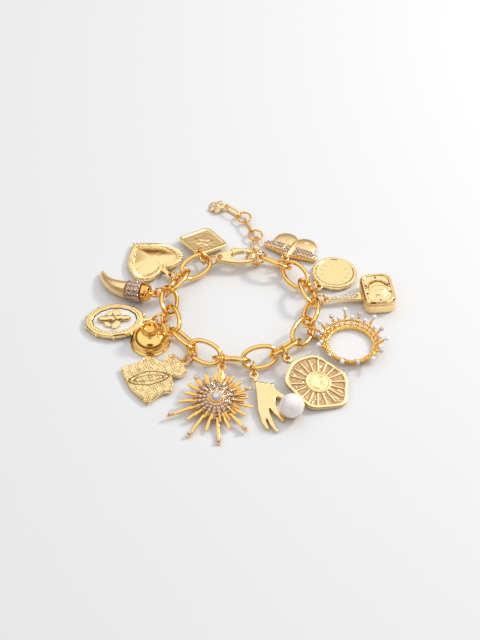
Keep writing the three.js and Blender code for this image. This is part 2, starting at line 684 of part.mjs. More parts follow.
function makeCrown() {
  const x = crownRadius + eyeletRadius + crownStem;
  const bandHeight = 1.9;
  const low = -1.6;
  const inside = crownRadius - crownBand;
  const section = [
    [inside, 0], [crownRadius, 0], [crownRadius, bandHeight], [inside, bandHeight], [inside, 0],
  ];
  const band = turned(section, 16, place(x, 0, low));
  const rise = crownHeight - bandHeight;
  const lean = THREE.MathUtils.radToDeg(Math.atan2(crownFlare, rise));
  const points = Array.from({ length: crownPoints }, (_, i) => {
    const turn = 180 + 360 / crownPoints * (i + 0.5);
    const tall = i % 2 ? 1 : 0.8;
    const length = Math.hypot(rise, crownFlare) * tall;
    const bar = new THREE.CylinderGeometry(0.5, 0.75, length, 4);
    bar.rotateX(Math.PI / 2);
    bar.translate(0, 0, length / 2);
    const root = place(crownRadius - crownBand / 2, 0, bandHeight - 0.4, 0, lean);
    root.premultiply(place(x, 0, low, turn));
    const tip = new THREE.Vector3(0, 0, length + 0.4).applyMatrix4(root);
    return solid(bar, root).add(ball(crownPearl, tip.x, tip.y, tip.z, 5));
  });
  const stem = block(2, 1.6, eyeletThickness, eyeletRadius, 0, 0);
  return [{ name: "crown", finish: "polished", body: withEyelet(join([band, stem, ...points])) }];
}

function makeLocket() {
  const x = locketLength / 2 + eyeletRadius + locketBail - 0.6;
  const low = -2.2;
  const floor = low + locketThickness - 0.8;
  const outside = roundedPolygon(rectangleCorners(locketLength, locketWidth, x), locketCorner);
  const inside = roundedPolygon(rectangleCorners(locketLength - 3, locketWidth - 3, x), locketCorner - 0.8);
  const box = plate(outside, low, locketThickness, 0.9, 1, 3).subtract(plate(inside, floor, 2, 0, 1, 3));
  const dome = ball(5.2, x, 0, floor, 10, [1, 1, 0.26]);
  const bail = outline([[1.2, -0.8], [locketBail + 2, -2.2], [locketBail + 2, 2.2], [1.2, 0.8]]);
  const setting = plate(bail, -eyeletThickness / 2, 1.8);
  const crystals = [0.35, 0.6, 0.85].map((share) => (
    gem(0.6 + 0.6 * share, share * locketBail + 0.6, 0, 1.25)
  ));
  return [{ name: "locket", finish: "satin", body: withEyelet(join([box, dome, setting, ...crystals])) }];
}

function makeDisc() {
  const x = discRadius + eyeletRadius - 0.5;
  const r = discRadius;
  const low = -discThickness / 2;
  const coin = turned([
    [0, 0], [r - 0.3, 0], [r, 0.3], [r, discThickness - 0.3], [r - 0.3, discThickness],
    [r - 1.3, discThickness], [r - 1.6, discThickness - 0.5], [0, discThickness - 0.5],
  ], 18, place(x, 0, low));
  const rays = star(8, 0.5 * r, 0.24 * r, x, 0, low + discThickness - 0.7, 0.55);
  const boss = ball(1.7, x, 0, low + discThickness - 0.4, 10, [1, 1, 0.5]);
  return [{ name: "disc", finish: "polished", body: withEyelet(join([coin, rays, boss])) }];
}

function makeButterfly() {
  const low = -wingThickness / 2;
  const half = wingSpan / 2;
  // Points of a wing's edge are shares of its chord and of half the span.
  const wing = (points, side) => outline(points.map(([x, y]) => [x * wingChord, side * y * half]));
  const forewing = [
    [0.23, 0.03], [0.35, 0.5], [0.46, 1], [0.69, 1.04], [0.92, 0.72], [1, 0.2], [0.83, 0],
  ];
  const veins = [[0.48, 0.3], [0.52, 0.88], [0.69, 0.92], [0.83, 0.62], [0.875, 0.25]];
  const wings = [-1, 1].flatMap((side) => [
    plate(wing(forewing, side), low, wingThickness, 0.25),
    ball(hindwing, 1.2 * wingChord, side * 0.36 * half, 0, 8, [1.05, 1, 0.2]),
  ]);
  const rims = [-1, 1].map((side) => plate(wing(veins, side), low + wingThickness - 0.4, 0.75));
  const trunk = ball(1.5, 0.83 * wingChord, 0, 0.3, 8, [0.51 * wingChord, 1, 0.95]);
  const stone = gem(1.5, 1.3 * wingChord, -0.36 * half, 1.2);
  const body = join([...wings, ...rims, trunk, stone]);
  return [{ name: "butterfly", finish: "polished", body: withEyelet(body) }];
}

function makeFlower() {
  const reach = 1.5 * flowerPetal;
  const x = reach + flowerPetal + 0.2;
  const petals = Array.from({ length: 5 }, (_, i) => {
    const a = rad(36 + 72 * i);
    return ball(flowerPetal, x + reach * Math.cos(a), reach * Math.sin(a), 0, 6, [1.15, 1.15, 0.6]);
  });
  const eye = gem(1.5, x, 0, 0.6);
  const ring = drum(1.5, -0.45, 0.9);
  const stem = block(3.4, 1.2, 0.9, 2.5, 0, 0);
  return join([...petals, eye, ring, stem]).subtract(drum(0.85, -5, 10));
}

// The charms round the loop. spread is where the jump ring sits on its link, ring and
// heading are the bearings of the ring and of the charm as it lies, grip is the eyelet's
// height above the ring's centre.
const charms = [
  { make: makeTag, name: "tag", link: 1, spread: -45, ring: 112, heading: 79, grip: -1.5, radius: bigJumpRadius },
  { make: makeHeart, name: "heart", link: 2, spread: -24, ring: 142, heading: 129, grip: -0.8 },
  { make: makeHorn, name: "horn", link: 3, spread: -18, ring: 176, heading: 162, grip: -1.1 },
  { make: makeOval, name: "oval", link: 4, spread: -26, ring: 184, heading: 179, grip: 0.2 },
  { make: makePlaque, name: "plaque", link: 6, spread: -33, ring: 214, heading: 211, grip: -0.8 },
  { make: makeStar, name: "star", link: 7, spread: -24, ring: 262, heading: 262, grip: -1 },
  { make: makeHand, name: "hand", link: 8, spread: -26, ring: 272, heading: 277, grip: -0.8 },
  { make: makeSun, name: "sun", link: 9, spread: -24, ring: 300, heading: 319, grip: -0.9 },
  { make: makeCrown, name: "crown", link: 10, spread: 24, ring: 342, heading: 343, grip: -0.8 },
  { make: makeLocket, name: "locket", link: 12, spread: -24, ring: 6, heading: 8, grip: -0.6 },
  { make: makeDisc, name: "disc", link: 12, spread: 26, ring: 36, heading: 51, grip: -0.8 },
  { make: makeButterfly, name: "butterfly", link: 14, spread: -10, ring: 58, heading: 66, grip: -0.8 },
];

// The pitch that lays a charm down from its eyelet until it just touches the floor.
function pitchToFloor(pieces, eyelet, heading) {
  const points = pieces.flatMap(({ body }) => {
    const { vertProperties } = body.getMesh();
    return Array.from({ length: vertProperties.length / 3 }, (_, i) => (
      new THREE.Vector3().fromArray(vertProperties, 3 * i)
    ));
  });
  const lowest = (pitchAngle) => {
    const matrix = place(0, 0, eyelet.z, heading, pitchAngle);
    return Math.min(...points.map((p) => p.clone().applyMatrix4(matrix).z));
  };
  let [low, high] = [-25, 40];
  for (let i = 0; i < 40; i += 1) {
    const middle = (low + high) / 2;
    if (lowest(middle) > 0) low = middle;
    else high = middle;
  }
  return low;
}

// Putting it together

const bracelet = new THREE.Group();

function addPiece(parent, name, finish, body) {
  const mesh = new THREE.Mesh(geometryOf(body), finishes[finish]);
  mesh.name = name;
  parent.add(mesh);
  return mesh;
}

function addRing(name, matrix, loop, parent = bracelet) {
  const mesh = addPiece(parent, name, "polished", loop);
  mesh.applyMatrix4(matrix);
}

const links = Array.from({ length: linkCount }, (_, i) => linkAt(i + 1));
const linkLoop = wireLoop(linkHalfLength, linkHalfWidth, linkWire, 14, wireSides, linkFullness);
links.forEach((link) => {
  const name = `link_${String(link.number).padStart(2, "0")}`;
  addRing(name, link.matrix, linkLoop);
});

charms.forEach(({ make, name, link, spread, ring, heading, grip, radius = jumpRadius }) => {
  const jump = jumpOn(links[link - 1], spread, ring, grip, radius);
  addRing(`jump_ring_${name}`, jump.matrix, wireLoop(radius, radius, jumpWire, 10, smallWireSides));
  const pieces = make();
  const group = new THREE.Group();
  const tilt = pitchToFloor(pieces, jump.eyelet, heading);
  group.applyMatrix4(place(jump.eyelet.x, jump.eyelet.y, jump.eyelet.z, heading, tilt));
  pieces.forEach((piece) => addPiece(group, piece.name, piece.finish, piece.body));
  bracelet.add(group);
});

// Bell, its mouth on the floor, on an oval ring from the fifth link
const bellBearing = 203;
const bellOut = chainRadius + linkHalfWidth + 6.3;
const bellAt = new THREE.Vector3(Math.cos(rad(bellBearing)), Math.sin(rad(bellBearing)), 0)
  .multiplyScalar(bellOut);
const bellWire = wirePoint(links[4], -39);
const bellFacing = bellWire.clone().sub(bellAt).setZ(0).normalize();
const bellTurn = THREE.MathUtils.radToDeg(Math.atan2(bellFacing.y, bellFacing.x)) - 90;
addPiece(bracelet, "bell", "polished", makeBell()).applyMatrix4(place(bellAt.x, bellAt.y, 0, bellTurn));
const bellHook = bellAt.clone().addScaledVector(bellFacing, bellLugAt + (eyeletHole + eyeletWall) / 2);
bellHook.z = bellHeight - 0.75;
const bellRun = bellHook.clone().sub(bellWire);
const bellRingAlong = bellRun.clone().normalize();
const bellRingLength = bellRun.length() + linkRadius + eyeletWall / 2 + 2 * clearance;
const bellRingCentre = bellWire.clone()
  .addScaledVector(bellRingAlong, bellRingLength / 2 - linkRadius - clearance);
const bellRingFacing = new THREE.Vector3()
  .crossVectors(bellRingAlong, new THREE.Vector3(0, 0, 1)).normalize();
const bellRingWide = new THREE.Vector3().crossVectors(bellRingFacing, bellRingAlong);
const bellRingMatrix = new THREE.Matrix4()
  .makeBasis(bellRingAlong, bellRingWide, bellRingFacing).setPosition(bellRingCentre);
const [bellRingHalf, bellRingHalfWidth] = [(bellRingLength + jumpWire) / 2, (bellRingWidth + jumpWire) / 2];
const bellLoop = wireLoop(bellRingHalf, bellRingHalfWidth, jumpWire, 14, smallWireSides);
addRing("jump_ring_bell", bellRingMatrix, bellLoop);

// Clasp, in its own plane: x runs from its tail to its hook, y to the loop's outside
const claspGroup = new THREE.Group();
const claspOutward = new THREE.Vector3(Math.cos(rad(claspBearing)), Math.sin(rad(claspBearing)), 0);
const claspAlong = new THREE.Vector3(claspOutward.y, -claspOutward.x, 0);
const [claspCos, claspSin] = [Math.cos(rad(claspHalfAngle)), Math.sin(rad(claspHalfAngle))];
const claspLine = chainRadius * claspCos + linkHalfLength * claspSin;
const claspWide = claspOutward.clone().multiplyScalar(Math.cos(rad(claspLean)));
claspWide.z = Math.sin(rad(claspLean));
const claspUp = new THREE.Vector3().crossVectors(claspAlong, claspWide);
const claspStart = claspOutward.clone().multiplyScalar(claspLine)
  .addScaledVector(claspAlong, -claspSpan / 2 + tailReach - claspEye).setZ(chainHeight);
const claspFrame = new THREE.Matrix4().makeBasis(claspAlong, claspWide, claspUp);
claspGroup.applyMatrix4(claspFrame.setPosition(claspStart));
bracelet.add(claspGroup);

// Depth of the cuts that go right through the clasp
const through = 2 * claspThickness;
const pivot = new THREE.Vector2(0.33 * claspLength, 0.27 * claspWidth);
const leverTip = hookInside - 2 * clearance - 2.2;
const cheekRadius = 1.7;

function pivotDrum(radius, low, height, sides = 16) {
  return drum(radius, low, height, pivot.x, pivot.y, sides);
}

function claspOutline() {
  const [l, w] = [claspLength, claspWidth / 2];
  const shape = new THREE.Shape();
  shape.moveTo(0, 0);
  shape.bezierCurveTo(0, 2.9, 0.14 * l, 2.1, 0.26 * l, 0.74 * w);
  shape.bezierCurveTo(0.4 * l, 1.1 * w, 0.6 * l, 1.12 * w, 0.78 * l, 0.98 * w);
  shape.bezierCurveTo(0.94 * l, 0.84 * w, l, 0.45 * w, l, 0);
  shape.bezierCurveTo(l, -0.45 * w, 0.94 * l, -0.84 * w, 0.78 * l, -0.95 * w);
  shape.bezierCurveTo(0.55 * l, -1.05 * w, 0.3 * l, -0.8 * w, 0.18 * l, -2.05);
  shape.bezierCurveTo(0.1 * l, -2.5, 0, -2.5, 0, 0);
  return shape;
}

const claspFull = plate(claspOutline(), -claspThickness / 2, claspThickness, 0.45, 1, 6);
const openingLength = hookInside - 0.42 * claspLength;
const opening = plate(
  ellipseShape(openingLength / 2, claspWidth / 2 - claspWall, hookInside - openingLength / 2),
  -claspThickness, through, 0, 1, 8,
);
const claspRing = claspFull.subtract(opening);
const gateLength = leverTip - pivot.x;
const gateCut = gateLength + clearance;
const gate = block(gateCut, claspWidth, through, pivot.x + gateCut / 2, 0.62 * claspWidth, 0);
const cheeks = claspRing.intersect(pivotDrum(cheekRadius, -claspThickness, through));
const slotWidth = leverThickness + 2 * clearance;
const slot = pivotDrum(cheekRadius + clearance + 0.15, -slotWidth / 2, slotWidth);
const pin = pivotDrum(pinDiameter / 2, -claspThickness / 2 + 0.3, claspThickness - 0.6, 8);
// Room for the lever's heel to swing in
const swingWidth = cheekRadius + clearance;
const swing = block(cheekRadius, swingWidth, through, pivot.x + cheekRadius, pivot.y - cheekRadius, 0);
const claspBody = claspRing.subtract(gate).subtract(swing).add(cheeks).subtract(slot).add(pin)
  .subtract(drum(claspEyeHole / 2, -5, 10, claspEye, 0, 12));
addPiece(claspGroup, "clasp_body", "polished", claspBody);

const leverZone = block(gateLength, claspWidth, through, pivot.x + gateLength / 2, 0.64 * claspWidth, 0);
const leverBlank = claspRing.intersect(leverZone);
const leverArm = leverBlank.subtract(pivotDrum(cheekRadius + clearance, -claspThickness, through));
const tongue = pivotDrum(cheekRadius - 0.2, -leverThickness / 2, leverThickness, 14);
const bridge = block(2.6, 1.5, leverThickness, pivot.x + 1.6, pivot.y + 0.1, 0);
const tab = drum(thumbTab / 2, -0.8, 1.6, pivot.x + cheekRadius + 1.2, 0.5 * claspWidth + 0.2, 10);
const pinHole = pivotDrum(pinDiameter / 2 + clearance, -claspThickness, through, 10);
addPiece(claspGroup, "clasp_lever", "polished", join([leverArm, tongue, bridge, tab]).subtract(pinHole));

// The rings at the clasp's two ends stand across it. inward is how far each sits towards
// the clasp's middle, aside towards the loop's middle, lean its tilt to suit the link that
// it holds, and raise how far it is lifted.
const tailRing = { inward: 0.2, aside: -0.6, raise: 0, lean: 0 };
const endRing = { inward: 0.3, aside: -0.9, raise: 0.35, lean: -8 };

// Hangs a ring in the clasp and gives the ring's lowest point.
function claspRingAt(name, alongX, radius, { aside, raise, lean }) {
  const loop = wireLoop(radius, radius, jumpWire, 12, smallWireSides);
  const facing = new THREE.Vector3(0, Math.cos(rad(lean)), Math.sin(rad(lean)));
  const along = new THREE.Vector3(1, 0, 0);
  const wide = new THREE.Vector3().crossVectors(facing, along);
  const centre = new THREE.Vector3(alongX, 0, 0);
  centre.addScaledVector(facing, aside).addScaledVector(wide, -raise);
  addRing(name, new THREE.Matrix4().makeBasis(along, wide, facing).setPosition(centre), loop, claspGroup);
  return centre.addScaledVector(wide, radius).applyMatrix4(claspGroup.matrix);
}

claspRingAt("tail_ring", claspEye - tailRingRadius + tailRing.inward, tailRingRadius, tailRing);
const endRingX = endRingAt + endRingRadius - endRing.inward;
const endRingLow = claspRingAt("end_ring", endRingX, endRingRadius, endRing);

// Extender: small links on edge and round rings lying flat, then the flower. A link
// runs straight along its bearing; a ring is left on a new bearing. Roll is the link's
// lean from lying flat.
const extenderStages = [
  { kind: "link", bearing: 88, roll: 54 },
  { kind: "link", bearing: 90, roll: -48 },
  { kind: "ring", bearing: 90 },
  { kind: "link", bearing: 114, roll: 70 },
  { kind: "ring", bearing: 114 },
  { kind: "link", bearing: 140, roll: 80 },
];
const extenderHeight = smallLinkHalfWidth + smallWire / 2;
const firstLinkAside = 0.6;                                 // from the end ring's lowest point
const joint = (smallWire + clearance) / 2;                  // half of what two tips share
const smallLink = wireLoop(
  smallLinkHalfLength, smallLinkHalfWidth, smallWire, 12, smallWireSides, smallLinkFullness,
);
const smallRing = wireLoop(smallRingRadius, smallRingRadius, smallWire, 10, smallWireSides);
const joinAt = endRingLow.clone();
joinAt.x -= firstLinkAside;
joinAt.z = smallLinkHalfWidth * Math.sin(rad(extenderStages[0].roll)) + smallWire / 2;
joinAt.y -= joint;
extenderStages.forEach(({ kind, bearing, roll = 0 }, i) => {
  const isLink = kind === "link";
  const half = (isLink ? smallLinkHalfLength : smallRingRadius) - joint;
  const leave = isLink ? bearing : extenderStages[i + 1].bearing;
  const next = joinAt.clone();
  next.x += half * (Math.cos(rad(bearing)) + Math.cos(rad(leave)));
  next.y += half * (Math.sin(rad(bearing)) + Math.sin(rad(leave)));
  next.z = extenderHeight;
  const x = joinAt.x + half * Math.cos(rad(bearing));
  const y = joinAt.y + half * Math.sin(rad(bearing));
  const fall = THREE.MathUtils.radToDeg(Math.atan2(joinAt.z - next.z, 2 * half));
  const matrix = place(x, y, (joinAt.z + next.z) / 2, bearing, fall, roll);
  addRing(`extender_${i + 1}_${kind}`, matrix, isLink ? smallLink : smallRing);
  joinAt.copy(next);
});

const flower = [{ name: "flower", finish: "pave", body: makeFlower() }];
const flowerBearing = 166;
const lastBearing = extenderStages[extenderStages.length - 1].bearing;
joinAt.x += joint * Math.cos(rad(lastBearing));
joinAt.y += joint * Math.sin(rad(lastBearing));
const flowerTilt = pitchToFloor(flower, joinAt, flowerBearing);
addPiece(bracelet, "flower", "pave", flower[0].body)
  .applyMatrix4(place(joinAt.x, joinAt.y, joinAt.z, flowerBearing, flowerTilt));

// The origin is under the middle of everything, on the floor
const bounds = new THREE.Box3().setFromObject(bracelet, true);
const middle = bounds.getCenter(new THREE.Vector3());
bracelet.position.set(-middle.x, -middle.y, -bounds.min.z);
const whole = new THREE.Group();
whole.add(bracelet);

export default whole;
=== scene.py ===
# %% [markdown]
# A gold charm bracelet, laid in a loop on a pale floor. The measured parts come
# first: every link, ring and charm already lies in its true place at its true size.
# This lesson dresses them: first the light, the metals and the stones, then the wire
# pieces of one kind after another, and last the charms, each with its own stones.

# %% Load the measured parts
import math

import bmesh
import bpy
import numpy as np
from mathutils import Matrix, Vector


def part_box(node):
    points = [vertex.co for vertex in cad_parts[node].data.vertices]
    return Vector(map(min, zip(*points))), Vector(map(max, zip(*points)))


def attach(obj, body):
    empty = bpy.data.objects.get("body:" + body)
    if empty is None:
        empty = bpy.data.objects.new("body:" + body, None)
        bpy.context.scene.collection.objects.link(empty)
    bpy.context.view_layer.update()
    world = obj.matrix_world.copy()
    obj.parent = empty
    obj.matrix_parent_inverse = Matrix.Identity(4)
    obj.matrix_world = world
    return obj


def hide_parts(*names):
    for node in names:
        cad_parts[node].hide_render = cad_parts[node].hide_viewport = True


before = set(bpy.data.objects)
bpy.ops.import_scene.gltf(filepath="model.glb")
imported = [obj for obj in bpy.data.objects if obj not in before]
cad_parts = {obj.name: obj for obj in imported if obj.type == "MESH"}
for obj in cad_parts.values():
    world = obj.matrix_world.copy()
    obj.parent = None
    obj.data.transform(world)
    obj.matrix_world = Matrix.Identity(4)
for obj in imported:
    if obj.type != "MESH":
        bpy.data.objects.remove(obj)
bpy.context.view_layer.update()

MM = 0.001


def clear_selection():
    bpy.ops.object.select_all(action="DESELECT")


def pick(piece):
    clear_selection()
    piece.select_set(True)
    bpy.context.view_layer.objects.active = piece


# %% [markdown]
# The camera looks down at the bracelet from 47 degrees above the floor, from 80 cm
# away through a long lens, so that near and far charms are almost the same size. It is
# turned by pointing its -Z axis at a spot near the loop's middle.

# %% Camera
LOOK_AT = Vector((-0.25, -1.4, 0.0)) * MM
CAMERA_HEIGHT = math.radians(47)
CAMERA_DISTANCE = 800 * MM

bpy.ops.object.camera_add()
camera = bpy.context.object
camera.location = LOOK_AT + CAMERA_DISTANCE * Vector((0, -math.cos(CAMERA_HEIGHT), math.sin(CAMERA_HEIGHT)))
camera.rotation_euler = (math.pi / 2 - CAMERA_HEIGHT, 0, 0)
camera.data.sensor_fit = "HORIZONTAL"
camera.data.sensor_width = 36
camera.data.lens = 144
camera.data.clip_start = 0.01
bpy.context.scene.camera = camera
print("camera at", [round(v, 3) for v in camera.location])

# %% [markdown]
# Polished gold shows its surroundings more than itself. A white room alone would
# make it flat and pale, so the room has a light ceiling and warm brown walls, and a
# brown cloth hangs where the photographer stands. Walls and cloth give the deep orange
# lines that run along each wire. A ramp on the height of the view direction makes the
# walls, and the angle between that direction and the cloth's middle makes the cloth.

# %% Room
room = bpy.data.worlds.new("studio")
bpy.context.scene.world = room
room.use_nodes = True
nodes, links = room.node_tree.nodes, room.node_tree.links
background = nodes["Background"]
direction = nodes.new("ShaderNodeTexCoord")
height = nodes.new("ShaderNodeSeparateXYZ")
ramp = nodes.new("ShaderNodeValToRGB")
links.new(direction.outputs["Generated"], height.inputs[0])
links.new(height.outputs["Z"], ramp.inputs[0])
cloth = nodes.new("ShaderNodeVectorMath")
cloth.operation = "DOT_PRODUCT"
cloth.inputs[1].default_value = (0.0, -0.70, 0.68)
edge = nodes.new("ShaderNodeMapRange")
edge.inputs["From Min"].default_value = 0.90
edge.inputs["From Max"].default_value = 0.95
hung = nodes.new("ShaderNodeMixRGB")
hung.inputs[2].default_value = (0.16, 0.07, 0.02, 1)
links.new(direction.outputs["Generated"], cloth.inputs[0])
links.new(cloth.outputs["Value"], edge.inputs["Value"])
links.new(edge.outputs[0], hung.inputs[0])
links.new(ramp.outputs[0], hung.inputs[1])
links.new(hung.outputs[0], background.inputs["Color"])
stops = ramp.color_ramp.elements
stops[0].position, stops[0].color = 0.0, (0.40, 0.30, 0.20, 1)
stops[1].position, stops[1].color = 1.0, (0.93, 0.97, 1.0, 1)
for position, colour in ((0.12, (0.12, 0.05, 0.015)), (0.32, (0.22, 0.10, 0.03)),
                         (0.46, (0.70, 0.66, 0.60)), (0.60, (0.95, 0.98, 1.0))):
    stop = stops.new(position)
    stop.color = (*colour, 1)
background.inputs["Strength"].default_value = 1.15
bpy.context.scene.view_settings.view_transform = "Standard"
print("room stops:", len(stops))

# %% [markdown]
# A warm softbox stands behind and to the right, so shadows fall softly to the front
# left. The bright ceiling fills them, so no second lamp is needed. An area light's
# size sets how soft the shadow edges are.

# %% Light
def softbox(name, place, size, power):
    bpy.ops.object.light_add(type="AREA", location=place)
    lamp = bpy.context.object
    lamp.name = name
    lamp.data.size = size
    lamp.data.energy = power
    lamp.rotation_euler = (-Vector(place)).to_track_quat("-Z", "Y").to_euler()
    return lamp


key = softbox("key", (0.52, 0.24, 0.50), 0.15, 2.7)
key.data.color = (1.0, 0.94, 0.85)
print("lamp:", key.name, key.data.energy, "W")

# %% [markdown]
# The floor is a plain sheet of pale card, with a faint cloudiness of tone. Its edges
# never show, so one big plane is enough.

# %% Floor
bpy.ops.mesh.primitive_plane_add(size=6, location=(0, 0, 0))
floor = bpy.context.object
floor.name = "floor"
paper = bpy.data.materials.new("pale_paper")
paper.use_nodes = True
shader = paper.node_tree.nodes["Principled BSDF"]
shader.inputs["Roughness"].default_value = 0.9
shader.inputs["Specular IOR Level"].default_value = 0.1
tone = paper.node_tree.nodes.new("ShaderNodeTexNoise")
tone.inputs["Scale"].default_value = 3
spread = paper.node_tree.nodes.new("ShaderNodeMixRGB")
spread.inputs[1].default_value = (0.755, 0.772, 0.800, 1)
spread.inputs[2].default_value = (0.770, 0.786, 0.814, 1)
where = paper.node_tree.nodes.new("ShaderNodeTexCoord")
paper.node_tree.links.new(where.outputs["Object"], tone.inputs["Vector"])
paper.node_tree.links.new(tone.outputs["Fac"], spread.inputs[0])
paper.node_tree.links.new(spread.outputs[0], shader.inputs["Base Color"])
floor.data.materials.append(paper)
print("floor", tuple(round(v, 1) for v in floor.dimensions))

# %% [markdown]
# One recipe makes all the metals: a base colour that wanders a little between two
# golds, a roughness that wanders more finely, and a faint bump. The real plating does
# this too. Only the numbers differ between the mirror polish of the links and the
# satin of the cast charms. The dim, rose and dark golds are for hollows and cut lines.

# %% Metals
def metal(name, light, dark, rough, wander, grain, bump):
    made = bpy.data.materials.new(name)
    made.use_nodes = True
    tree = made.node_tree
    shader = tree.nodes["Principled BSDF"]
    shader.inputs["Metallic"].default_value = 1
    where = tree.nodes.new("ShaderNodeTexCoord")
    clouds = tree.nodes.new("ShaderNodeTexNoise")
    clouds.inputs["Scale"].default_value = wander
    clouds.inputs["Detail"].default_value = 3
    fine = tree.nodes.new("ShaderNodeTexNoise")
    fine.inputs["Scale"].default_value = grain
    fine.inputs["Detail"].default_value = 4
    colour = tree.nodes.new("ShaderNodeMixRGB")
    colour.inputs[1].default_value = (*dark, 1)
    colour.inputs[2].default_value = (*light, 1)
    gloss = tree.nodes.new("ShaderNodeMapRange")
    gloss.inputs["To Min"].default_value = rough[0]
    gloss.inputs["To Max"].default_value = rough[1]
    dents = tree.nodes.new("ShaderNodeBump")
    dents.inputs["Strength"].default_value = bump
    dents.inputs["Distance"].default_value = 0.05 * MM
    for noise in (clouds, fine):
        tree.links.new(where.outputs["Object"], noise.inputs["Vector"])
    tree.links.new(clouds.outputs["Fac"], colour.inputs[0])
    tree.links.new(colour.outputs[0], shader.inputs["Base Color"])
    tree.links.new(fine.outputs["Fac"], gloss.inputs["Value"])
    tree.links.new(gloss.outputs[0], shader.inputs["Roughness"])
    tree.links.new(fine.outputs["Fac"], dents.inputs["Height"])
    tree.links.new(dents.outputs[0], shader.inputs["Normal"])
    return made


mirror_gold = metal("mirror_gold", (1.0, 0.69, 0.25), (0.98, 0.60, 0.17), (0.04, 0.12), 260, 2400, 0.04)
amber_gold = metal("amber_gold", (0.96, 0.56, 0.16), (0.88, 0.45, 0.10), (0.06, 0.16), 260, 2400, 0.05)
pale_gold = metal("pale_gold", (1.0, 0.77, 0.41), (0.99, 0.71, 0.32), (0.12, 0.24), 260, 2600, 0.1)
satin_gold = metal("satin_gold", (1.0, 0.78, 0.43), (0.97, 0.71, 0.34), (0.26, 0.42), 300, 3800, 0.35)
dim_gold = metal("dim_gold", (0.74, 0.50, 0.22), (0.60, 0.38, 0.14), (0.25, 0.42), 500, 4200, 0.6)
rose_gold = metal("rose_gold", (0.60, 0.40, 0.25), (0.38, 0.23, 0.13), (0.3, 0.5), 900, 4200, 1.0)
dark_gold = metal("dark_gold", (0.34, 0.20, 0.08), (0.20, 0.11, 0.04), (0.3, 0.5), 500, 4200, 0.4)
print("metals:", [m.name for m in bpy.data.materials if m.name.endswith("gold")])

# %% [markdown]
# The stones are small and their facets do the work: a hard clear gloss over a light
# body, with each facet turned its own way. A high index gives strong reflections. The
# dark one is for the stones of a field that are turned from the light. The pearl has a
# soft gloss under a thin coat, and the shell wanders between two whites as mother of
# pearl does.

# %% Stones, pearl and shell
def gloss_body(name, light, dark, rough, index, wander, coat=0.0, through=0.0):
    made = bpy.data.materials.new(name)
    made.use_nodes = True
    tree = made.node_tree
    shader = tree.nodes["Principled BSDF"]
    shader.inputs["Roughness"].default_value = rough
    shader.inputs["IOR"].default_value = index
    shader.inputs["Coat Weight"].default_value = coat
    shader.inputs["Transmission Weight"].default_value = through
    where = tree.nodes.new("ShaderNodeTexCoord")
    clouds = tree.nodes.new("ShaderNodeTexNoise")
    clouds.inputs["Scale"].default_value = wander
    colour = tree.nodes.new("ShaderNodeMixRGB")
    colour.inputs[1].default_value = (*dark, 1)
    colour.inputs[2].default_value = (*light, 1)
    tree.links.new(where.outputs["Object"], clouds.inputs["Vector"])
    tree.links.new(clouds.outputs["Fac"], colour.inputs[0])
    tree.links.new(colour.outputs[0], shader.inputs["Base Color"])
    return made


crystal = gloss_body("crystal", (0.95, 0.93, 0.96), (0.80, 0.76, 0.80), 0.03, 2.2, 900, through=0.35)
pave_stone = gloss_body("pave_stone", (0.88, 0.78, 0.74), (0.70, 0.58, 0.54), 0.05, 2.2, 1400)
pave_shade = gloss_body("pave_shade", (0.34, 0.22, 0.16), (0.18, 0.11, 0.08), 0.12, 1.8, 1400)
blush_stone = gloss_body("blush_stone", (0.96, 0.80, 0.72), (0.88, 0.66, 0.58), 0.04, 2.0, 700, through=0.3)
ruby = gloss_body("ruby", (0.42, 0.02, 0.12), (0.25, 0.01, 0.06), 0.05, 1.9, 900)
pearl_white = gloss_body("pearl_white", (0.96, 0.93, 0.93), (0.87, 0.83, 0.86), 0.16, 1.6, 120, coat=0.5)
shell_white = gloss_body("shell_white", (0.86, 0.84, 0.80), (0.76, 0.75, 0.74), 0.14, 1.6, 260, coat=0.4)
print("stones:", crystal.name, pave_stone.name, pave_shade.name, blush_stone.name, ruby.name)

# %% [markdown]
# Every wire piece is a closed loop that lies in a plane of its own. The measured solid
# tells where: the three main directions of its points are the loop's length, its width
# and the way that it faces. Measuring that once means that no place is typed in twice.

# %% Where a wire loop lies
def points_of(node):
    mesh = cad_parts[node].data
    flat = np.empty(3 * len(mesh.vertices))
    mesh.vertices.foreach_get("co", flat)
    return np.unique(flat.reshape(-1, 3).round(6), axis=0)


def loop_place(node):
    points = points_of(node)
    middle = points.mean(axis=0)
    _, _, ways = np.linalg.svd(points - middle)
    facing = np.cross(ways[0], ways[1])
    basis = Matrix([list(row) for row in (ways[0], ways[1], facing)]).transposed().to_4x4()
    return Matrix.Translation(middle) @ basis


def settle(piece, place, body, slot, *stands_for):
    piece.data.transform(place)
    piece.data.update()
    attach(piece, body)
    if stands_for:
        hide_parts(*stands_for)


def copy_of(pattern, name):
    piece = bpy.data.objects.new(name, pattern.data.copy())
    bpy.context.scene.collection.objects.link(piece)
    return piece


print("first link lies at", [round(v / MM, 1) for v in loop_place("link_01").translation])

# %% [markdown]
# A big link is round wire bent into a full oval. A torus could be stretched, but its
# wire would be stretched too. A bezier circle keeps the wire round: its four points
# are moved out to the oval's ends, its handles are lengthened to fill the corners, and
# then it is given the wire's thickness and made a mesh.

# %% Big links
LINK_WIRE = 2.0 * MM
LINK_HALF_LENGTH = 7.15 * MM
LINK_HALF_WIDTH = 4.2 * MM


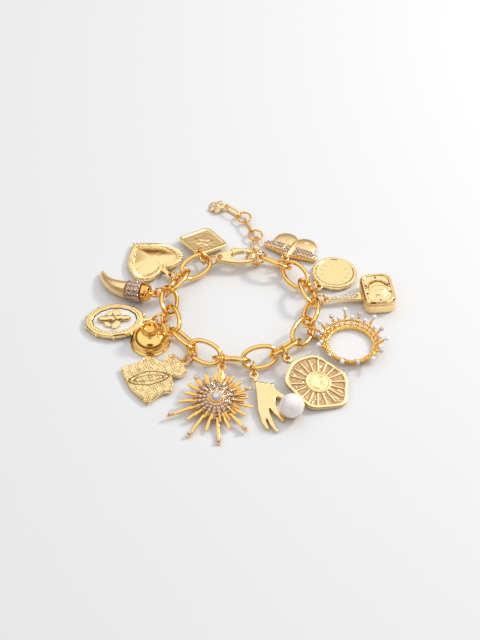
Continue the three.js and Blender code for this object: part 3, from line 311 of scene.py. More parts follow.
def oval_wire(name, half_length, half_width, wire, corner=0.5523, steps=14, sides=5):
    """corner is how far the handles reach: 0.55 is an ellipse, more is squarer."""
    clear_selection()
    bpy.ops.curve.primitive_bezier_circle_add(radius=1)
    loop = bpy.context.object
    loop.name = name
    for point in loop.data.splines[0].bezier_points:
        point.handle_left_type = point.handle_right_type = "FREE"
        x, y = round(point.co.x), round(point.co.y)
        point.co = (half_length * x, half_width * y, 0)
        across = Vector((-y * half_length, x * half_width, 0)) * corner
        point.handle_left = point.co + across
        point.handle_right = point.co - across
    loop.data.resolution_u = steps
    loop.data.bevel_depth = wire / 2
    loop.data.bevel_resolution = sides
    pick(loop)
    bpy.ops.object.convert(target="MESH")
    bpy.ops.object.mode_set(mode="EDIT")
    bpy.ops.mesh.select_all(action="SELECT")
    bpy.ops.mesh.remove_doubles(threshold=0.01 * MM)
    bpy.ops.mesh.normals_make_consistent(inside=False)
    bpy.ops.object.mode_set(mode="OBJECT")
    bpy.ops.object.shade_smooth()
    return loop


big_link = oval_wire("big_link", LINK_HALF_LENGTH, LINK_HALF_WIDTH, 0.98 * LINK_WIRE, corner=0.62)
big_link.data.materials.append(mirror_gold)
for number in range(1, 15):
    node = f"link_{number:02d}"
    link = copy_of(big_link, f"wire_{node}")
    settle(link, loop_place(node), "bracelet", "polished", node)
print("a link has", len(big_link.data.polygons), "faces")
bpy.data.objects.remove(big_link)

# %% [markdown]
# A jump ring is a round of thin wire with a fine cut, where it is opened to hang a
# charm. The ring is a torus, cut finer at one place, where the wire is pinched in so
# that the cut shows as a thin dark line.

# %% Jump rings and the clasp's two rings
RING_WIRE = 0.9 * MM


def cut_ring(name, radius, wire, gap=0.12 * MM):
    clear_selection()
    bpy.ops.mesh.primitive_torus_add(
        major_radius=radius, minor_radius=wire / 2, major_segments=48, minor_segments=12)
    ring = bpy.context.object
    ring.name = name
    bpy.ops.object.mode_set(mode="EDIT")
    bpy.ops.mesh.select_all(action="DESELECT")
    bpy.ops.object.mode_set(mode="OBJECT")
    for face in ring.data.polygons:
        face.select = face.center.x > 0 and abs(face.center.y) < 0.15 * radius
    bpy.ops.object.mode_set(mode="EDIT")
    bpy.ops.mesh.subdivide(number_cuts=1)
    bpy.ops.object.mode_set(mode="OBJECT")
    for vertex in ring.data.vertices:
        if vertex.co.x > 0 and abs(vertex.co.y) < gap:
            centre = Vector((radius, 0, 0))
            vertex.co = centre + 0.82 * (vertex.co - centre)
    bpy.ops.object.shade_smooth()
    ring.data.materials.append(amber_gold)
    return ring


CHARM_RING = 2.85 * MM
TAG_RING = 3.65 * MM
TAIL_RING = 3.15 * MM
END_RING = 4.15 * MM
RINGED = ("tag", "heart", "horn", "oval", "plaque", "star", "hand", "sun", "crown", "locket",
          "disc", "butterfly")
for name in RINGED:
    node = f"jump_ring_{name}"
    radius = TAG_RING if name == "tag" else CHARM_RING
    settle(cut_ring(f"wire_{node}", radius, RING_WIRE), loop_place(node), "bracelet", "polished", node)
for node, radius in (("tail_ring", TAIL_RING), ("end_ring", END_RING)):
    settle(cut_ring(f"wire_{node}", radius, RING_WIRE), loop_place(node), "bracelet", "polished", node)

# %% [markdown]
# The extender's small links are squarer than the big ones, so their handles are longer,
# and between them are round rings. The bell hangs on an oval ring whose length is taken
# from the measured one.

# %% Extender links and the bell's ring
SMALL_WIRE = 0.9 * MM
SMALL_HALF_LENGTH = 4.3 * MM
SMALL_HALF_WIDTH = 1.8 * MM
EXTENDER_RING = 3.0 * MM
small_link = oval_wire("small_link", SMALL_HALF_LENGTH, SMALL_HALF_WIDTH, SMALL_WIRE,
                       corner=0.78, steps=10, sides=3)
small_link.data.materials.append(mirror_gold)
for node in ("extender_1_link", "extender_2_link", "extender_4_link", "extender_6_link"):
    settle(copy_of(small_link, f"wire_{node}"), loop_place(node), "bracelet", "polished", node)
bpy.data.objects.remove(small_link)
for node in ("extender_3_ring", "extender_5_ring"):
    ring = cut_ring(f"wire_{node}", EXTENDER_RING, SMALL_WIRE)
    settle(ring, loop_place(node), "bracelet", "polished", node)

place = loop_place("jump_ring_bell")
local = np.array([place.inverted() @ Vector(p) for p in points_of("jump_ring_bell")])
half = (local.max(axis=0) - local.min(axis=0)) / 2
place = place @ Matrix.Translation((local.max(axis=0) + local.min(axis=0)) / 2)
bell_ring = oval_wire("wire_jump_ring_bell", half[0] - 0.6 * RING_WIRE, half[1] - 0.6 * RING_WIRE,
                      0.92 * RING_WIRE)
bell_ring.data.materials.append(mirror_gold)
settle(bell_ring, place, "bracelet", "polished", "jump_ring_bell")
print("bell ring is", round(2 * half[0] / MM, 1), "mm long")

# %% [markdown]
# Each charm is worked flat, with its eyelet at the origin and its far end along +X, and
# is only then laid in its place. The place is read from the measured charm: its
# compass heading is known, its tilt is the tilt of its largest flat face, and its
# eyelet is the end that lies furthest back.

# %% Where a charm lies
EYELET = 1.9 * MM
HEADINGS = {
    "tag": 79, "heart": 129, "horn_cap": 162, "oval_frame": 179, "plaque": 211, "star": 262, "hand": 277,
    "sun": 319, "crown": 343, "locket": 8, "disc": 51, "butterfly": 66, "flower": 166,
}


def charm_place(node):
    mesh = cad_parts[node].data
    heading = math.radians(HEADINGS[node])
    along = Vector((math.cos(heading), math.sin(heading), 0))
    side = Vector((-along.y, along.x, 0))
    flats = [f for f in mesh.polygons if abs(f.normal.dot(side)) < 0.02 and f.normal.z > 0.5]
    tilts = np.array([math.atan2(f.normal.dot(along), f.normal.z) for f in flats])
    areas = np.array([f.area for f in flats])
    best = max(tilts, key=lambda tilt: areas[abs(tilts - tilt) < 0.004].sum())
    same = abs(tilts - best) < 0.004
    tilt = (tilts[same] * areas[same]).sum() / areas[same].sum()
    turn = Matrix.Rotation(heading, 4, "Z") @ Matrix.Rotation(tilt, 4, "Y")
    flat = np.array([turn.inverted() @ v.co for v in mesh.vertices])
    x = flat[:, 0].min() + EYELET
    eye = flat[flat[:, 0] < x]
    middle = (eye.min(axis=0) + eye.max(axis=0)) / 2
    return Matrix.Translation(turn @ Vector((x, middle[1], middle[2]))) @ turn


places = {node: charm_place(node) for node in HEADINGS}
print("charms placed:", len(places))

# %% [markdown]
# A cast charm has no sharp edge anywhere: metal flows into a mould and is tumbled
# afterwards. A copy of the measured solid is cut into fine even cells by the Remesh
# modifier and eased by Smooth, and its relief is then pressed up or down cell by cell.
# Modelling each face by hand would be slower and would look carved. Where a hollow is
# darker than the rest, the faces there get a second finish.

# %% Casting a charm
CELL = 0.2 * MM


def cast(node, name, place, finish, cell=CELL, easing=3):
    piece = bpy.data.objects.new(name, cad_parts[node].data.copy())
    bpy.context.scene.collection.objects.link(piece)
    piece.data.transform(place.inverted())
    pick(piece)
    bpy.ops.object.mode_set(mode="EDIT")
    bpy.ops.mesh.select_all(action="SELECT")
    bpy.ops.mesh.remove_doubles(threshold=0.002 * MM)
    bpy.ops.object.mode_set(mode="OBJECT")
    cells = piece.modifiers.new("cells", "REMESH")
    cells.mode = "VOXEL"
    cells.voxel_size = cell
    bpy.ops.object.modifier_apply(modifier=cells.name)
    eased = piece.modifiers.new("eased", "SMOOTH")
    eased.iterations = easing
    bpy.ops.object.modifier_apply(modifier=eased.name)
    piece.data.materials.clear()
    piece.data.materials.append(finish)
    bpy.ops.object.shade_smooth()
    return piece


def points_in_mm(piece):
    flat = np.empty(3 * len(piece.data.vertices))
    piece.data.vertices.foreach_get("co", flat)
    return flat.reshape(-1, 3) / MM


def press(piece, relief, facing=0.35):
    """relief gets x, y and z in mm of the points that face up, and gives their new z."""
    points = points_in_mm(piece)
    normals = np.empty(3 * len(points))
    piece.data.vertices.foreach_get("normal", normals)
    up = normals.reshape(-1, 3)[:, 2] > facing
    x, y, z = points[up].T
    points[up, 2] = relief(x, y, z)
    piece.data.vertices.foreach_set("co", (points * MM).ravel())
    piece.data.update()


def second_finish(piece, finish, chosen):
    """chosen gets the middles of all faces as x, y and z in mm, and says which take it."""
    piece.data.materials.append(finish)
    middles = np.empty(3 * len(piece.data.polygons))
    piece.data.polygons.foreach_get("center", middles)
    x, y, z = (middles.reshape(-1, 3) / MM).T
    finishes = np.empty(len(x), dtype=int)
    piece.data.polygons.foreach_get("material_index", finishes)
    finishes[chosen(x, y, z)] = len(piece.data.materials) - 1
    piece.data.polygons.foreach_set("material_index", finishes)
    piece.data.update()


def edge_distance(piece, centre_x):
    """A function that says how far a point lies inside the charm's outline, in mm."""
    points = points_in_mm(piece)
    points = points[points[:, 0] > 2.4]
    turn = np.arctan2(points[:, 1], points[:, 0] - centre_x)
    reach = np.hypot(points[:, 1], points[:, 0] - centre_x)
    bins = 120
    slot = ((turn + math.pi) / 2 / math.pi * bins).astype(int) % bins
    rim = np.zeros(bins)
    np.maximum.at(rim, slot, reach)
    rim[rim == 0] = rim.max()

    def inside(x, y):
        at = (np.arctan2(y, x - centre_x) + math.pi) / 2 / math.pi * bins - 0.5
        return np.interp(at, np.arange(-1, bins + 1), np.r_[rim[-1], rim, rim[0]]) - np.hypot(y, x - centre_x)
    return inside


def band(value, low, high, soft=0.3):
    """1 between low and high, 0 outside, with soft edges."""
    return np.clip((value - low) / soft + 0.5, 0, 1) * np.clip((high - value) / soft + 0.5, 0, 1)


print("casting cell:", round(CELL / MM, 2), "mm")

# %% [markdown]
# A cut stone is a squat cone: eight slopes up to a flat table, and eight more down to
# a point. One is made, and a setting of many is copies of it dropped onto the metal.

# %% Cutting and setting stones
def cut_stone():
    clear_selection()
    bpy.ops.mesh.primitive_cone_add(vertices=8, radius1=1, radius2=0.56, depth=0.42, location=(0, 0, 0.21))
    stone = bpy.context.object
    bpy.ops.object.mode_set(mode="EDIT")
    bpy.ops.mesh.select_all(action="DESELECT")
    bpy.ops.object.mode_set(mode="OBJECT")
    for face in stone.data.polygons:
        face.select = face.normal.z < -0.9
    bpy.ops.object.mode_set(mode="EDIT")
    bpy.ops.mesh.extrude_region_move(TRANSFORM_OT_translate={"value": (0, 0, -0.6)})
    bpy.ops.mesh.merge(type="CENTER")
    bpy.ops.object.mode_set(mode="OBJECT")
    bpy.ops.object.transform_apply(location=True, rotation=True, scale=True)
    return stone


stone_pattern = cut_stone()


def join_copies(name, pattern, moves, finish):
    """One piece made of a copy of pattern for each move."""
    group = bmesh.new()
    for move in moves:
        count = len(group.verts)
        group.from_mesh(pattern.data)
        group.verts.ensure_lookup_table()
        bmesh.ops.transform(group, matrix=move, verts=group.verts[count:])
    mesh = bpy.data.meshes.new(name)
    group.to_mesh(mesh)
    group.free()
    mesh.materials.append(finish)
    joined = bpy.data.objects.new(name, mesh)
    bpy.context.scene.collection.objects.link(joined)
    return joined


def sway(pattern, moves, most):
    """A tilt for the next copy, up to most radians; each copy gets a different one."""
    return Matrix.Rotation(most * math.sin(7.3 * len(moves) * len(pattern.data.vertices)), 4, "X")


def set_many(name, pattern, spots, finish, piece=None, sink=0.1, tilt=0.0, highest=99):
    """spots are x, y, z, radius and turn in mm and degrees; z None is found on piece.

    No stone is set where piece is higher than highest. Each stone is tilted its own way,
    up to tilt radians, as stones set by hand are, and that makes them sparkle.
    """
    moves = []
    for x, y, z, radius, turn in spots:
        facing = Vector((0, 0, 1))
        if z is None:
            hit, at, facing, _ = piece.ray_cast(Vector((x, y, 30)) * MM, Vector((0, 0, -1)))
            if not hit or facing.z < 0.5 or at.z / MM > highest:
                continue
            z = at.z / MM + sink
        lean = facing.to_track_quat("Z", "Y").to_matrix().to_4x4() @ sway(pattern, moves, tilt)
        spin = Matrix.Rotation(math.radians(turn), 4, "Z")
        at = Matrix.Translation(Vector((x, y, z)) * MM)
        moves.append(at @ lean @ spin @ Matrix.Scale(radius * MM, 4))
    return join_copies(name, pattern, moves, finish)


def set_pave(name, spots, place, piece=None, light=pave_stone):
    """Small stones side by side, each second one in shade, as pave looks from afar."""
    for part, finish in ((0, light), (1, pave_shade)):
        stones = set_many(f"{name}_{part}", stone_pattern, spots[part::2], finish, piece, tilt=0.5)
        settle(stones, place, "bracelet", "pave")


print("a stone has", len(stone_pattern.data.polygons), "facets")

# %% [markdown]
# A bead or a small pearl is an icosphere with one more subdivision: rounder than a
# globe of the same few faces, with no poles.

# %% Beads
bpy.ops.mesh.primitive_ico_sphere_add(subdivisions=2, radius=1)
bead_pattern = bpy.context.object
bpy.ops.object.shade_smooth()
print("a bead has", len(bead_pattern.data.polygons), "faces")

# %% [markdown]
# The heart: a wide border of fine ribs that point at the middle, and a high polished
# puff inside it. The puff's height is a quarter wave over the way from its middle to
# its edge. The sides below the shoulders are drawn out a little, so the outline is full.

# %% Heart
HEART_X, TIP_BELOW = 12.5, 13.7
BORDER = 2.8
heart_place = places["heart"]
heart = cast("heart", "cast_heart", heart_place, pale_gold)
points = points_in_mm(heart)
below = np.clip((points[:, 0] - HEART_X) / TIP_BELOW, 0, 1)
points[:, 1] *= 1 + 0.16 * np.sin(math.pi * below)
heart.data.vertices.foreach_set("co", (points * MM).ravel())
heart_inside = edge_distance(heart, HEART_X)


def heart_relief(x, y, z):
    d = heart_inside(x, y)
    turn = np.arctan2(y, x - HEART_X)
    ribs = 0.24 * np.cos(60 * turn) * band(d, 0.2, BORDER - 0.1)
    reach = np.hypot(x - HEART_X, y)
    share = np.clip(reach / np.maximum(reach + d - BORDER, 0.1), 0, 1)
    puff = 0.65 + 1.25 * np.cos(0.5 * math.pi * share)
    return np.where((d > BORDER) & (x > 5.5), puff, z) + ribs * (x > 4)


press(heart, heart_relief, facing=0.05)
settle(heart, heart_place, "bracelet", "polished", "heart")
print("heart has", len(heart.data.polygons), "faces")

# %% [markdown]
# The tag is a small satin square with a raised edge and a worn flower in low relief.

# %% Tag
TAG_X = 8.9
tag_place = places["tag"]
tag = cast("tag", "cast_tag", tag_place, satin_gold, easing=6)


def tag_relief(x, y, z):
    u, v = x - TAG_X, y
    turn, reach = np.arctan2(v, u), np.hypot(u, v)
    flower = 0.08 * np.cos(4 * turn) * band(reach, 0.8, 4.2, 0.8)
    scroll = 0.03 * np.sin(2.4 * u + 1.5 * np.sin(1.7 * v)) * np.sin(2.4 * v) * band(reach, 4.2, 7.5, 0.8)
    field = (abs(u + v) < 9.0) & (abs(u - v) < 9.0)
    return z + (flower + scroll) * field


press(tag, tag_relief)
settle(tag, tag_place, "bracelet", "satin", "tag")
print("tag has", len(tag.data.polygons), "faces")

# %% [markdown]
# The plaque is covered all over with worn relief: scribbled scrolls, and two long
# almond lines cut into the middle. Two waves that bend each other look like scrolls
# without drawing any one thing. The cut lines and the scrolls' low parts are darker.

# %% Plaque
PLAQUE_X, ALMOND_X = 15, 17.0
ALMOND_LEAN = math.radians(-24)
plaque_place = places["plaque"]
plaque = cast("plaque", "cast_plaque", plaque_place, satin_gold)
plaque_inside = edge_distance(plaque, PLAQUE_X)


def plaque_relief(x, y, z):
    d = plaque_inside(x, y)
    rim = 0.25 * band(d, -1, 0.8)
    inner = (d > 0.8) & (x > 4)
    level = np.where(inner, float(np.median(z[inner])), z)
    return level + 0.09 * scribble(x, y) * inner - 0.3 * almond_lines(x, y) + rim


def scribble(x, y):
    return np.sin(3.3 * x + 2.6 * np.sin(1.7 * y)) * np.sin(2.9 * y + 2.3 * np.sin(1.5 * x + 1))


def almond_lines(x, y):
    along, aside = math.cos(ALMOND_LEAN), math.sin(ALMOND_LEAN)
    u = (x - ALMOND_X) * along + y * aside
    v = y * along - (x - ALMOND_X) * aside
    outer = np.hypot(u / 8.2, v / (3.6 - 0.12 * abs(u)))
    inner = np.hypot(u / 6.0, v / 1.5)
    return np.maximum(band(outer, 0.92, 1.06, 0.06), 0.8 * band(inner, 0.86, 1.1, 0.1))


press(plaque, plaque_relief)
# The scrolls' low parts are coloured darker, and their lowest parts and the cut lines darker still.
second_finish(plaque, dim_gold, lambda x, y, z: (z > 0.2) & (scribble(x, y) < -0.2))
second_finish(plaque, dark_gold, lambda x, y, z: (z > 0.2) & (scribble(x, y) < -0.8))
second_finish(plaque, dark_gold, lambda x, y, z: (z > 0.2) & (almond_lines(x, y) > 0.75))
settle(plaque, plaque_place, "bracelet", "satin", "plaque")
print("plaque has", len(plaque.data.polygons), "faces")

# %% [markdown]
# The sun shield: ribs that fan out from a middle disc, over a darker field stippled by
# a punch, and a plain rim. On the disc are a crescent and a small star. The stipple is
# made from two waves across each other and rows of little balls.

# %% Sun shield
sun_place = places["sun"]
sun = cast("sun", "cast_sun", sun_place, satin_gold, easing=2)
SUN_X = 16.3


def sun_relief(x, y, z):
    u = x - SUN_X
    reach = np.hypot(u, y)
    stipple = 0.1 * np.sin(7.5 * u) * np.sin(7.5 * y) * (reach > 5.6) * (z < 0.75)
    crescent = (np.hypot(u + 0.3, y) < 3.4) & (np.hypot(u - 1.2, y - 0.9) > 2.7)
    star = band(np.hypot(u - 1.6, y - 1.2), -1, 0.9 + 0.35 * np.cos(5 * np.arctan2(y - 1.2, u - 1.6)))
    return z + stipple + (0.4 * crescent + 0.35 * star) * (reach < 4.2)


press(sun, sun_relief)
second_finish(sun, rose_gold, lambda x, y, z: (z > 0.15) & (z < 0.78) & (np.hypot(x - SUN_X, y) > 5.4))
grain_spots = [(SUN_X + u + 0.4 * (row % 2), v, None, 0.3, 0)
               for row, v in enumerate(np.arange(-13, 13, 0.75)) for u in np.arange(-14, 14, 0.8)
               if math.hypot(u, v) > 5.6]
bpy.ops.mesh.primitive_ico_sphere_add(subdivisions=1, radius=1)
grain_pattern = bpy.context.object
sun_grains = set_many("sun_grains", grain_pattern, grain_spots, pale_gold, sun, sink=-0.05, highest=0.6)
bpy.data.objects.remove(grain_pattern)
settle(sun, sun_place, "bracelet", "satin", "sun")
settle(sun_grains, sun_place, "bracelet", "satin")
print("sun has", len(sun.data.polygons), "faces")

# %% [markdown]
# The round medal is thin, with a rolled rim and a smooth field that bears only a faint
# rosette. The field is levelled first, and the rosette is then raised a hair above it.

# %% Medal
DISC_X = 11
disc_place = places["disc"]
disc = cast("disc", "cast_disc", disc_place, pale_gold)


def disc_relief(x, y, z):
    u = x - DISC_X
    turn, reach = np.arctan2(y, u), np.hypot(u, y)
    field = float(np.median(z[reach < 6.5]))
    rosette = 0.04 * np.cos(12 * turn) * band(reach, 4.6, 6.4, 0.5)
    return np.where(reach < 7.0, field, z) + rosette


press(disc, disc_relief)
settle(disc, disc_place, "bracelet", "polished", "disc")
print("medal has", len(disc.data.polygons), "faces")

# %% [markdown]
# The locket is a deep cushion with a lid. The seam between them is a groove round its
# side, so the points of the side at that height are drawn in, and it is darker. The lid
# has a domed disc with engraved arcs.

# %% Locket
locket_place = places["locket"]
locket = cast("locket", "cast_locket", locket_place, pale_gold, cell=0.22 * MM, easing=4)
LOCKET_X = 22.1


def locket_relief(x, y, z):
    u = x - LOCKET_X
    reach = np.hypot(u, y)
    groove = 0.25 * band(reach, 4.2, 4.7, 0.3)
    for shift in (-1.2, 1.3):
        groove = groove + 0.2 * band(abs(y + 0.12 * u ** 2 + shift), -1, 0.18, 0.2) * (reach < 4)
    return z - groove


press(locket, locket_relief)
points = points_in_mm(locket)
seam = band(points[:, 2], 2.9, 3.25, 0.15) * (points[:, 0] > 14.6)
points[:, 0] -= seam * 0.03 * (points[:, 0] - LOCKET_X)
points[:, 1] -= seam * 0.03 * points[:, 1]
locket.data.vertices.foreach_set("co", (points * MM).ravel())
second_finish(locket, dark_gold, lambda x, y, z: (x > 14.6) & (abs(z - 3.07) < 0.16))
rubies = set_many("locket_rubies", stone_pattern, [
    (LOCKET_X + 5.1 * math.cos(math.radians(a)), 6.6 * math.sin(math.radians(a)), None, 0.5, a)
    for a in (20, 90, 160, 200, 270, 340)], ruby, locket)
bail_stones = set_many("locket_bail_stones", stone_pattern, [
    (3.2 + 1.55 * i, side * (0.3 + 0.06 * i) * (1 if i % 2 else -1), None, 0.72, 20 * i)
    for i in range(7) for side in (-1, 1)], crystal, locket)
settle(locket, locket_place, "bracelet", "satin", "locket")
settle(rubies, locket_place, "bracelet", "pave")
settle(bail_stones, locket_place, "bracelet", "pave")
print("locket has", len(locket.data.polygons), "faces")

# %% [markdown]
# The butterfly's forewings are set all over with small stones inside an amber edge, and
# its hindwings are smooth and round.

# %% Butterfly
butterfly_place = places["butterfly"]
butterfly = cast("butterfly", "cast_butterfly", butterfly_place, satin_gold, easing=9)
WING_X, WING_Y = 11.5, 4.35
second_finish(butterfly, amber_gold, lambda x, y, z: (x < 4.4) & (abs(y) > 1.4))
clear_selection()
bpy.ops.mesh.primitive_uv_sphere_add(segments=40, ring_count=24, radius=1)
wing_pattern = bpy.context.object
bpy.ops.object.shade_smooth()
bpy.ops.transform.resize(value=(5.3, 5.05, 1.05))
bpy.ops.object.transform_apply(location=True, rotation=True, scale=True)
hindwings = set_many("butterfly_hindwings", wing_pattern, [
    (WING_X, side * WING_Y, 0.25, 1.0, 0) for side in (-1, 1)], satin_gold)
bpy.data.objects.remove(wing_pattern)
wing_spots = [(x + 0.25 * (row % 2), side * y, None, 0.42, 37 * row) for side in (-1, 1)
              for row, y in enumerate(np.arange(1.8, 11.6, 0.85))
              for x in np.arange(3.2, 9.0, 0.9)]
set_pave("butterfly_pave", wing_spots, butterfly_place, butterfly, light=blush_stone)
white_stone = set_many("butterfly_white_stone", stone_pattern, [(12.6, -4.4, 1.1, 1.5, 0)], crystal)
settle(butterfly, butterfly_place, "bracelet", "polished", "butterfly")
settle(hindwings, butterfly_place, "bracelet", "polished")
settle(white_stone, butterfly_place, "bracelet", "pave")
print("wing stones:", len(wing_spots))

# %% [markdown]
# The star burst: thin square rays of many lengths, with two shorter and thinner rays
# between each two, rows of small stones on the inner part of each, a clear stone in a
# bezel in the middle, a few more above it, and pale pink stones near the long tips. A
# short ray is a stretched cube.

# %% Star
star_place = places["star"]
star = cast("star", "cast_star", star_place, mirror_gold, cell=0.18 * MM, easing=2)
STAR_X = 14.92


def star_relief(x, y, z):
    reach = np.hypot(x - STAR_X, y)
    return np.where(reach < 2.4, np.minimum(z, 2.2), z)


press(star, star_relief)
RAY_REACH = (0.58, 0.58, 0.6, 0.68, 0.64, 0.62, 0.72, 1, 0.7, 0.98,
             0.72, 1, 0.7, 0.92, 0.66, 0.7, 0.6, 0.7, 0.6, 0.6)
inner_spots, tip_spots = [], []
for i, share in enumerate(RAY_REACH):
    a = math.radians(173 + 18 * i)
    c, s = math.cos(a), math.sin(a)
    for reach in np.arange(3.6, 8.6 if i % 2 else 7.4, 0.82):
        inner_spots.append((STAR_X + reach * c, reach * s, None, 0.45, 30 * i))
    if share > 0.9 or i in (3, 17):
        reach = 21 * share - 1.6
        tip_spots.append((STAR_X + reach * c, reach * s, None, 1.0, 18 * i))
clear_selection()
bpy.ops.mesh.primitive_cube_add(size=1)
ray_pattern = bpy.context.object
bpy.ops.transform.resize(value=(9, 0.8, 0.8))
bpy.ops.object.transform_apply(location=True, rotation=True, scale=True)
long_spots, short_spots = [], []
for i in range(60):
    if i % 3 == 0:
        continue
    a = math.radians(173 + 6 * i)
    spots, size, middle = (long_spots, 1.0, 6.5) if i % 3 == 1 else (short_spots, 0.8, 5.6)
    middle += 0.9 * math.sin(2.6 * i)
    spots.append((STAR_X + middle * math.cos(a), middle * math.sin(a), 1.1, size, math.degrees(a)))
    for reach in np.arange(3.3, 7.6, 0.8):
        reach += 0.3 * math.sin(5.1 * i)
        inner_spots.append((STAR_X + reach * math.cos(a), reach * math.sin(a), 1.5, 0.38, 30 * i))
star_long_rays = set_many("star_mid_rays", ray_pattern, long_spots, amber_gold)
star_short_rays = set_many("star_short_rays", ray_pattern, short_spots, rose_gold)
bpy.data.objects.remove(ray_pattern)
top_spots = [(STAR_X + 5.6 * math.cos(math.radians(a)), 5.6 * math.sin(math.radians(a)), None, 0.95, a)
             for a in (150, 164, 178, 192, 206)]
star_top = set_many("star_top_stones", stone_pattern, top_spots, crystal, star, tilt=0.4)
set_pave("star_pave", inner_spots, star_place, star, light=blush_stone)
star_tips = set_many("star_tip_stones", stone_pattern, tip_spots, blush_stone, star, sink=0.05)
star_middle = set_many("star_middle_stone", stone_pattern, [(STAR_X, 0, 2.35, 2.3, 0)], crystal)
settle(star, star_place, "bracelet", "polished", "star")
for rays in (star_long_rays, star_short_rays):
    settle(rays, star_place, "bracelet", "polished")
for stones in (star_tips, star_top, star_middle):
    settle(stones, star_place, "bracelet", "pave")
print("stones on the rays:", len(inner_spots))

# %% [markdown]
# The hand is a flat polished casting with softened edges, and it holds a big round
# pearl in a cup. The pearl is a globe with a drilled hole at its foot: the pole's faces
# are inset and pushed in, where it sits on its peg.

# %% Hand and pearl
hand_place = places["hand"]
hand = cast("hand", "cast_hand", hand_place, pale_gold, easing=6)
settle(hand, hand_place, "bracelet", "polished", "hand")

low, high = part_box("hand_pearl")
pearl_middle = (low + high) / 2
clear_selection()
bpy.ops.mesh.primitive_uv_sphere_add(
    segments=40, ring_count=28, radius=(high.z - low.z) / 2, location=pearl_middle)
pearl = bpy.context.object
pearl.name = "big_pearl"
bpy.ops.object.transform_apply(location=True, rotation=True, scale=True)
foot = min(v.co.z for v in pearl.data.vertices)
bpy.ops.object.mode_set(mode="EDIT")
bpy.ops.mesh.select_all(action="DESELECT")
bpy.ops.object.mode_set(mode="OBJECT")
for face in pearl.data.polygons:
    face.select = face.center.z < foot + 0.06 * MM
bpy.ops.object.mode_set(mode="EDIT")
bpy.ops.mesh.inset(thickness=0.05 * MM)
bpy.ops.mesh.extrude_region_move(TRANSFORM_OT_translate={"value": (0, 0, 1.2 * MM)})
bpy.ops.object.mode_set(mode="OBJECT")
bpy.ops.object.shade_smooth()
pearl.data.materials.append(pearl_white)
settle(pearl, Matrix.Identity(4), "bracelet", "pearl", "hand_pearl")
print("pearl is", round((high.z - low.z) / MM, 1), "mm")

# %% [markdown]
# The horn is smooth satin, its collar is packed with tiny stones in staggered rows,
# and its cap is polished. The stones stand on the collar, each turned outwards from
# its axis, and light and dark ones take turns.

# %% Horn, collar and cap
horn_place = places["horn_cap"]
horn = cast("horn", "cast_horn", horn_place, satin_gold, cell=0.25 * MM, easing=8)
cap = cast("horn_cap", "cast_horn_cap", horn_place, amber_gold, easing=6)
collar = cast("horn_collar", "cast_horn_collar", horn_place, rose_gold, easing=2)
collar_points = points_in_mm(collar)
collar_low, collar_high = float(collar_points[:, 0].min()), float(collar_points[:, 0].max())
collar_radius = float(np.hypot(collar_points[:, 1], collar_points[:, 2]).max())
collar_grains = []
ROWS, ROUND = 9, 27
for part, finish in ((0, pave_stone), (1, pave_shade)):
    moves = []
    for row in range(ROWS):
        x = collar_low + 0.5 + (collar_high - collar_low - 1.6) * row / (ROWS - 1)
        for i in range(part, ROUND, 2):
            a = 2 * math.pi * (i + 0.5 * (row % 2)) / ROUND
            out = Vector((0, math.cos(a), math.sin(a)))
            at = Vector((x, 0, 0)) + (collar_radius - 0.2) * out
            upright = out.to_track_quat("Z", "Y").to_matrix().to_4x4()
            moves.append(Matrix.Translation(at * MM) @ upright @ sway(stone_pattern, moves, 0.6)
                         @ Matrix.Scale(0.42 * MM, 4))
    collar_grains.append(join_copies(f"collar_pave_{part}", stone_pattern, moves, finish))
settle(horn, horn_place, "bracelet", "satin", "horn")
settle(cap, horn_place, "bracelet", "polished", "horn_cap")
settle(collar, horn_place, "bracelet", "pave", "horn_collar")
for stones in collar_grains:
    settle(stones, horn_place, "bracelet", "pave")
print("collar rows:", ROWS)

# %% [markdown]
# The oval locket: a gold frame with a beaded inner edge, a plate of shell behind,
# and a small winged figure on it.

# %% Oval
oval_place = places["oval_frame"]
oval = cast("oval_frame", "cast_oval_frame", oval_place, pale_gold, easing=3)
inlay = cast("oval_inlay", "cast_oval_inlay", oval_place, shell_white, easing=2)
bee = cast("oval_bee", "cast_oval_bee", oval_place, pale_gold, cell=0.16 * MM, easing=3)
OVAL_X = 16.2
points = points_in_mm(bee)
points[:, 0] = OVAL_X + 1.45 * (points[:, 0] - OVAL_X)
bee.data.vertices.foreach_set("co", (points * MM).ravel())
bead_spots = [(OVAL_X + 10.6 * math.cos(a), 7.7 * math.sin(a), None, 0.42, 0)
              for a in np.linspace(0, 2 * math.pi, 64, endpoint=False)]
oval_beads = set_many("oval_beads", bead_pattern, bead_spots, pale_gold, oval, sink=0.0)
settle(oval, oval_place, "bracelet", "polished", "oval_frame")
settle(inlay, oval_place, "bracelet", "shell", "oval_inlay")
settle(bee, oval_place, "bracelet", "polished", "oval_bee")
settle(oval_beads, oval_place, "bracelet", "polished")
print("beads round the oval:", len(bead_spots))

# %% [markdown]
# The crown is a polished ring with leaning points. Each point ends in a white pearl or a
# clear stone, by turns. The middle of the ring is found from the foot of its band, whose
# points all lie at one height, because the points that lean back hide the eyelet. A hoop
# joins the points low down. Small pearls sit between the points at the back, and rows
# of beads climb each point's stem and the gaps between the stems.

# %% Crown
crown_place = places["crown"]
crown = cast("crown", "cast_crown", crown_place, mirror_gold, easing=4)
flat = np.array([crown_place.inverted() @ Vector(p) for p in points_of("crown")]) / MM
foot = flat[flat[:, 2] < flat[:, 2].min() + 0.1]
crown_x, crown_y, _ = (foot.min(axis=0) + foot.max(axis=0)) / 2
crown_low = flat[:, 2].min()


def crown_spot(out, turn, up, size):
    """out is the way from the ring's middle and up the height above its foot, in mm."""
    return crown_x + out * math.cos(turn), crown_y + out * math.sin(turn), crown_low + up, size, 0


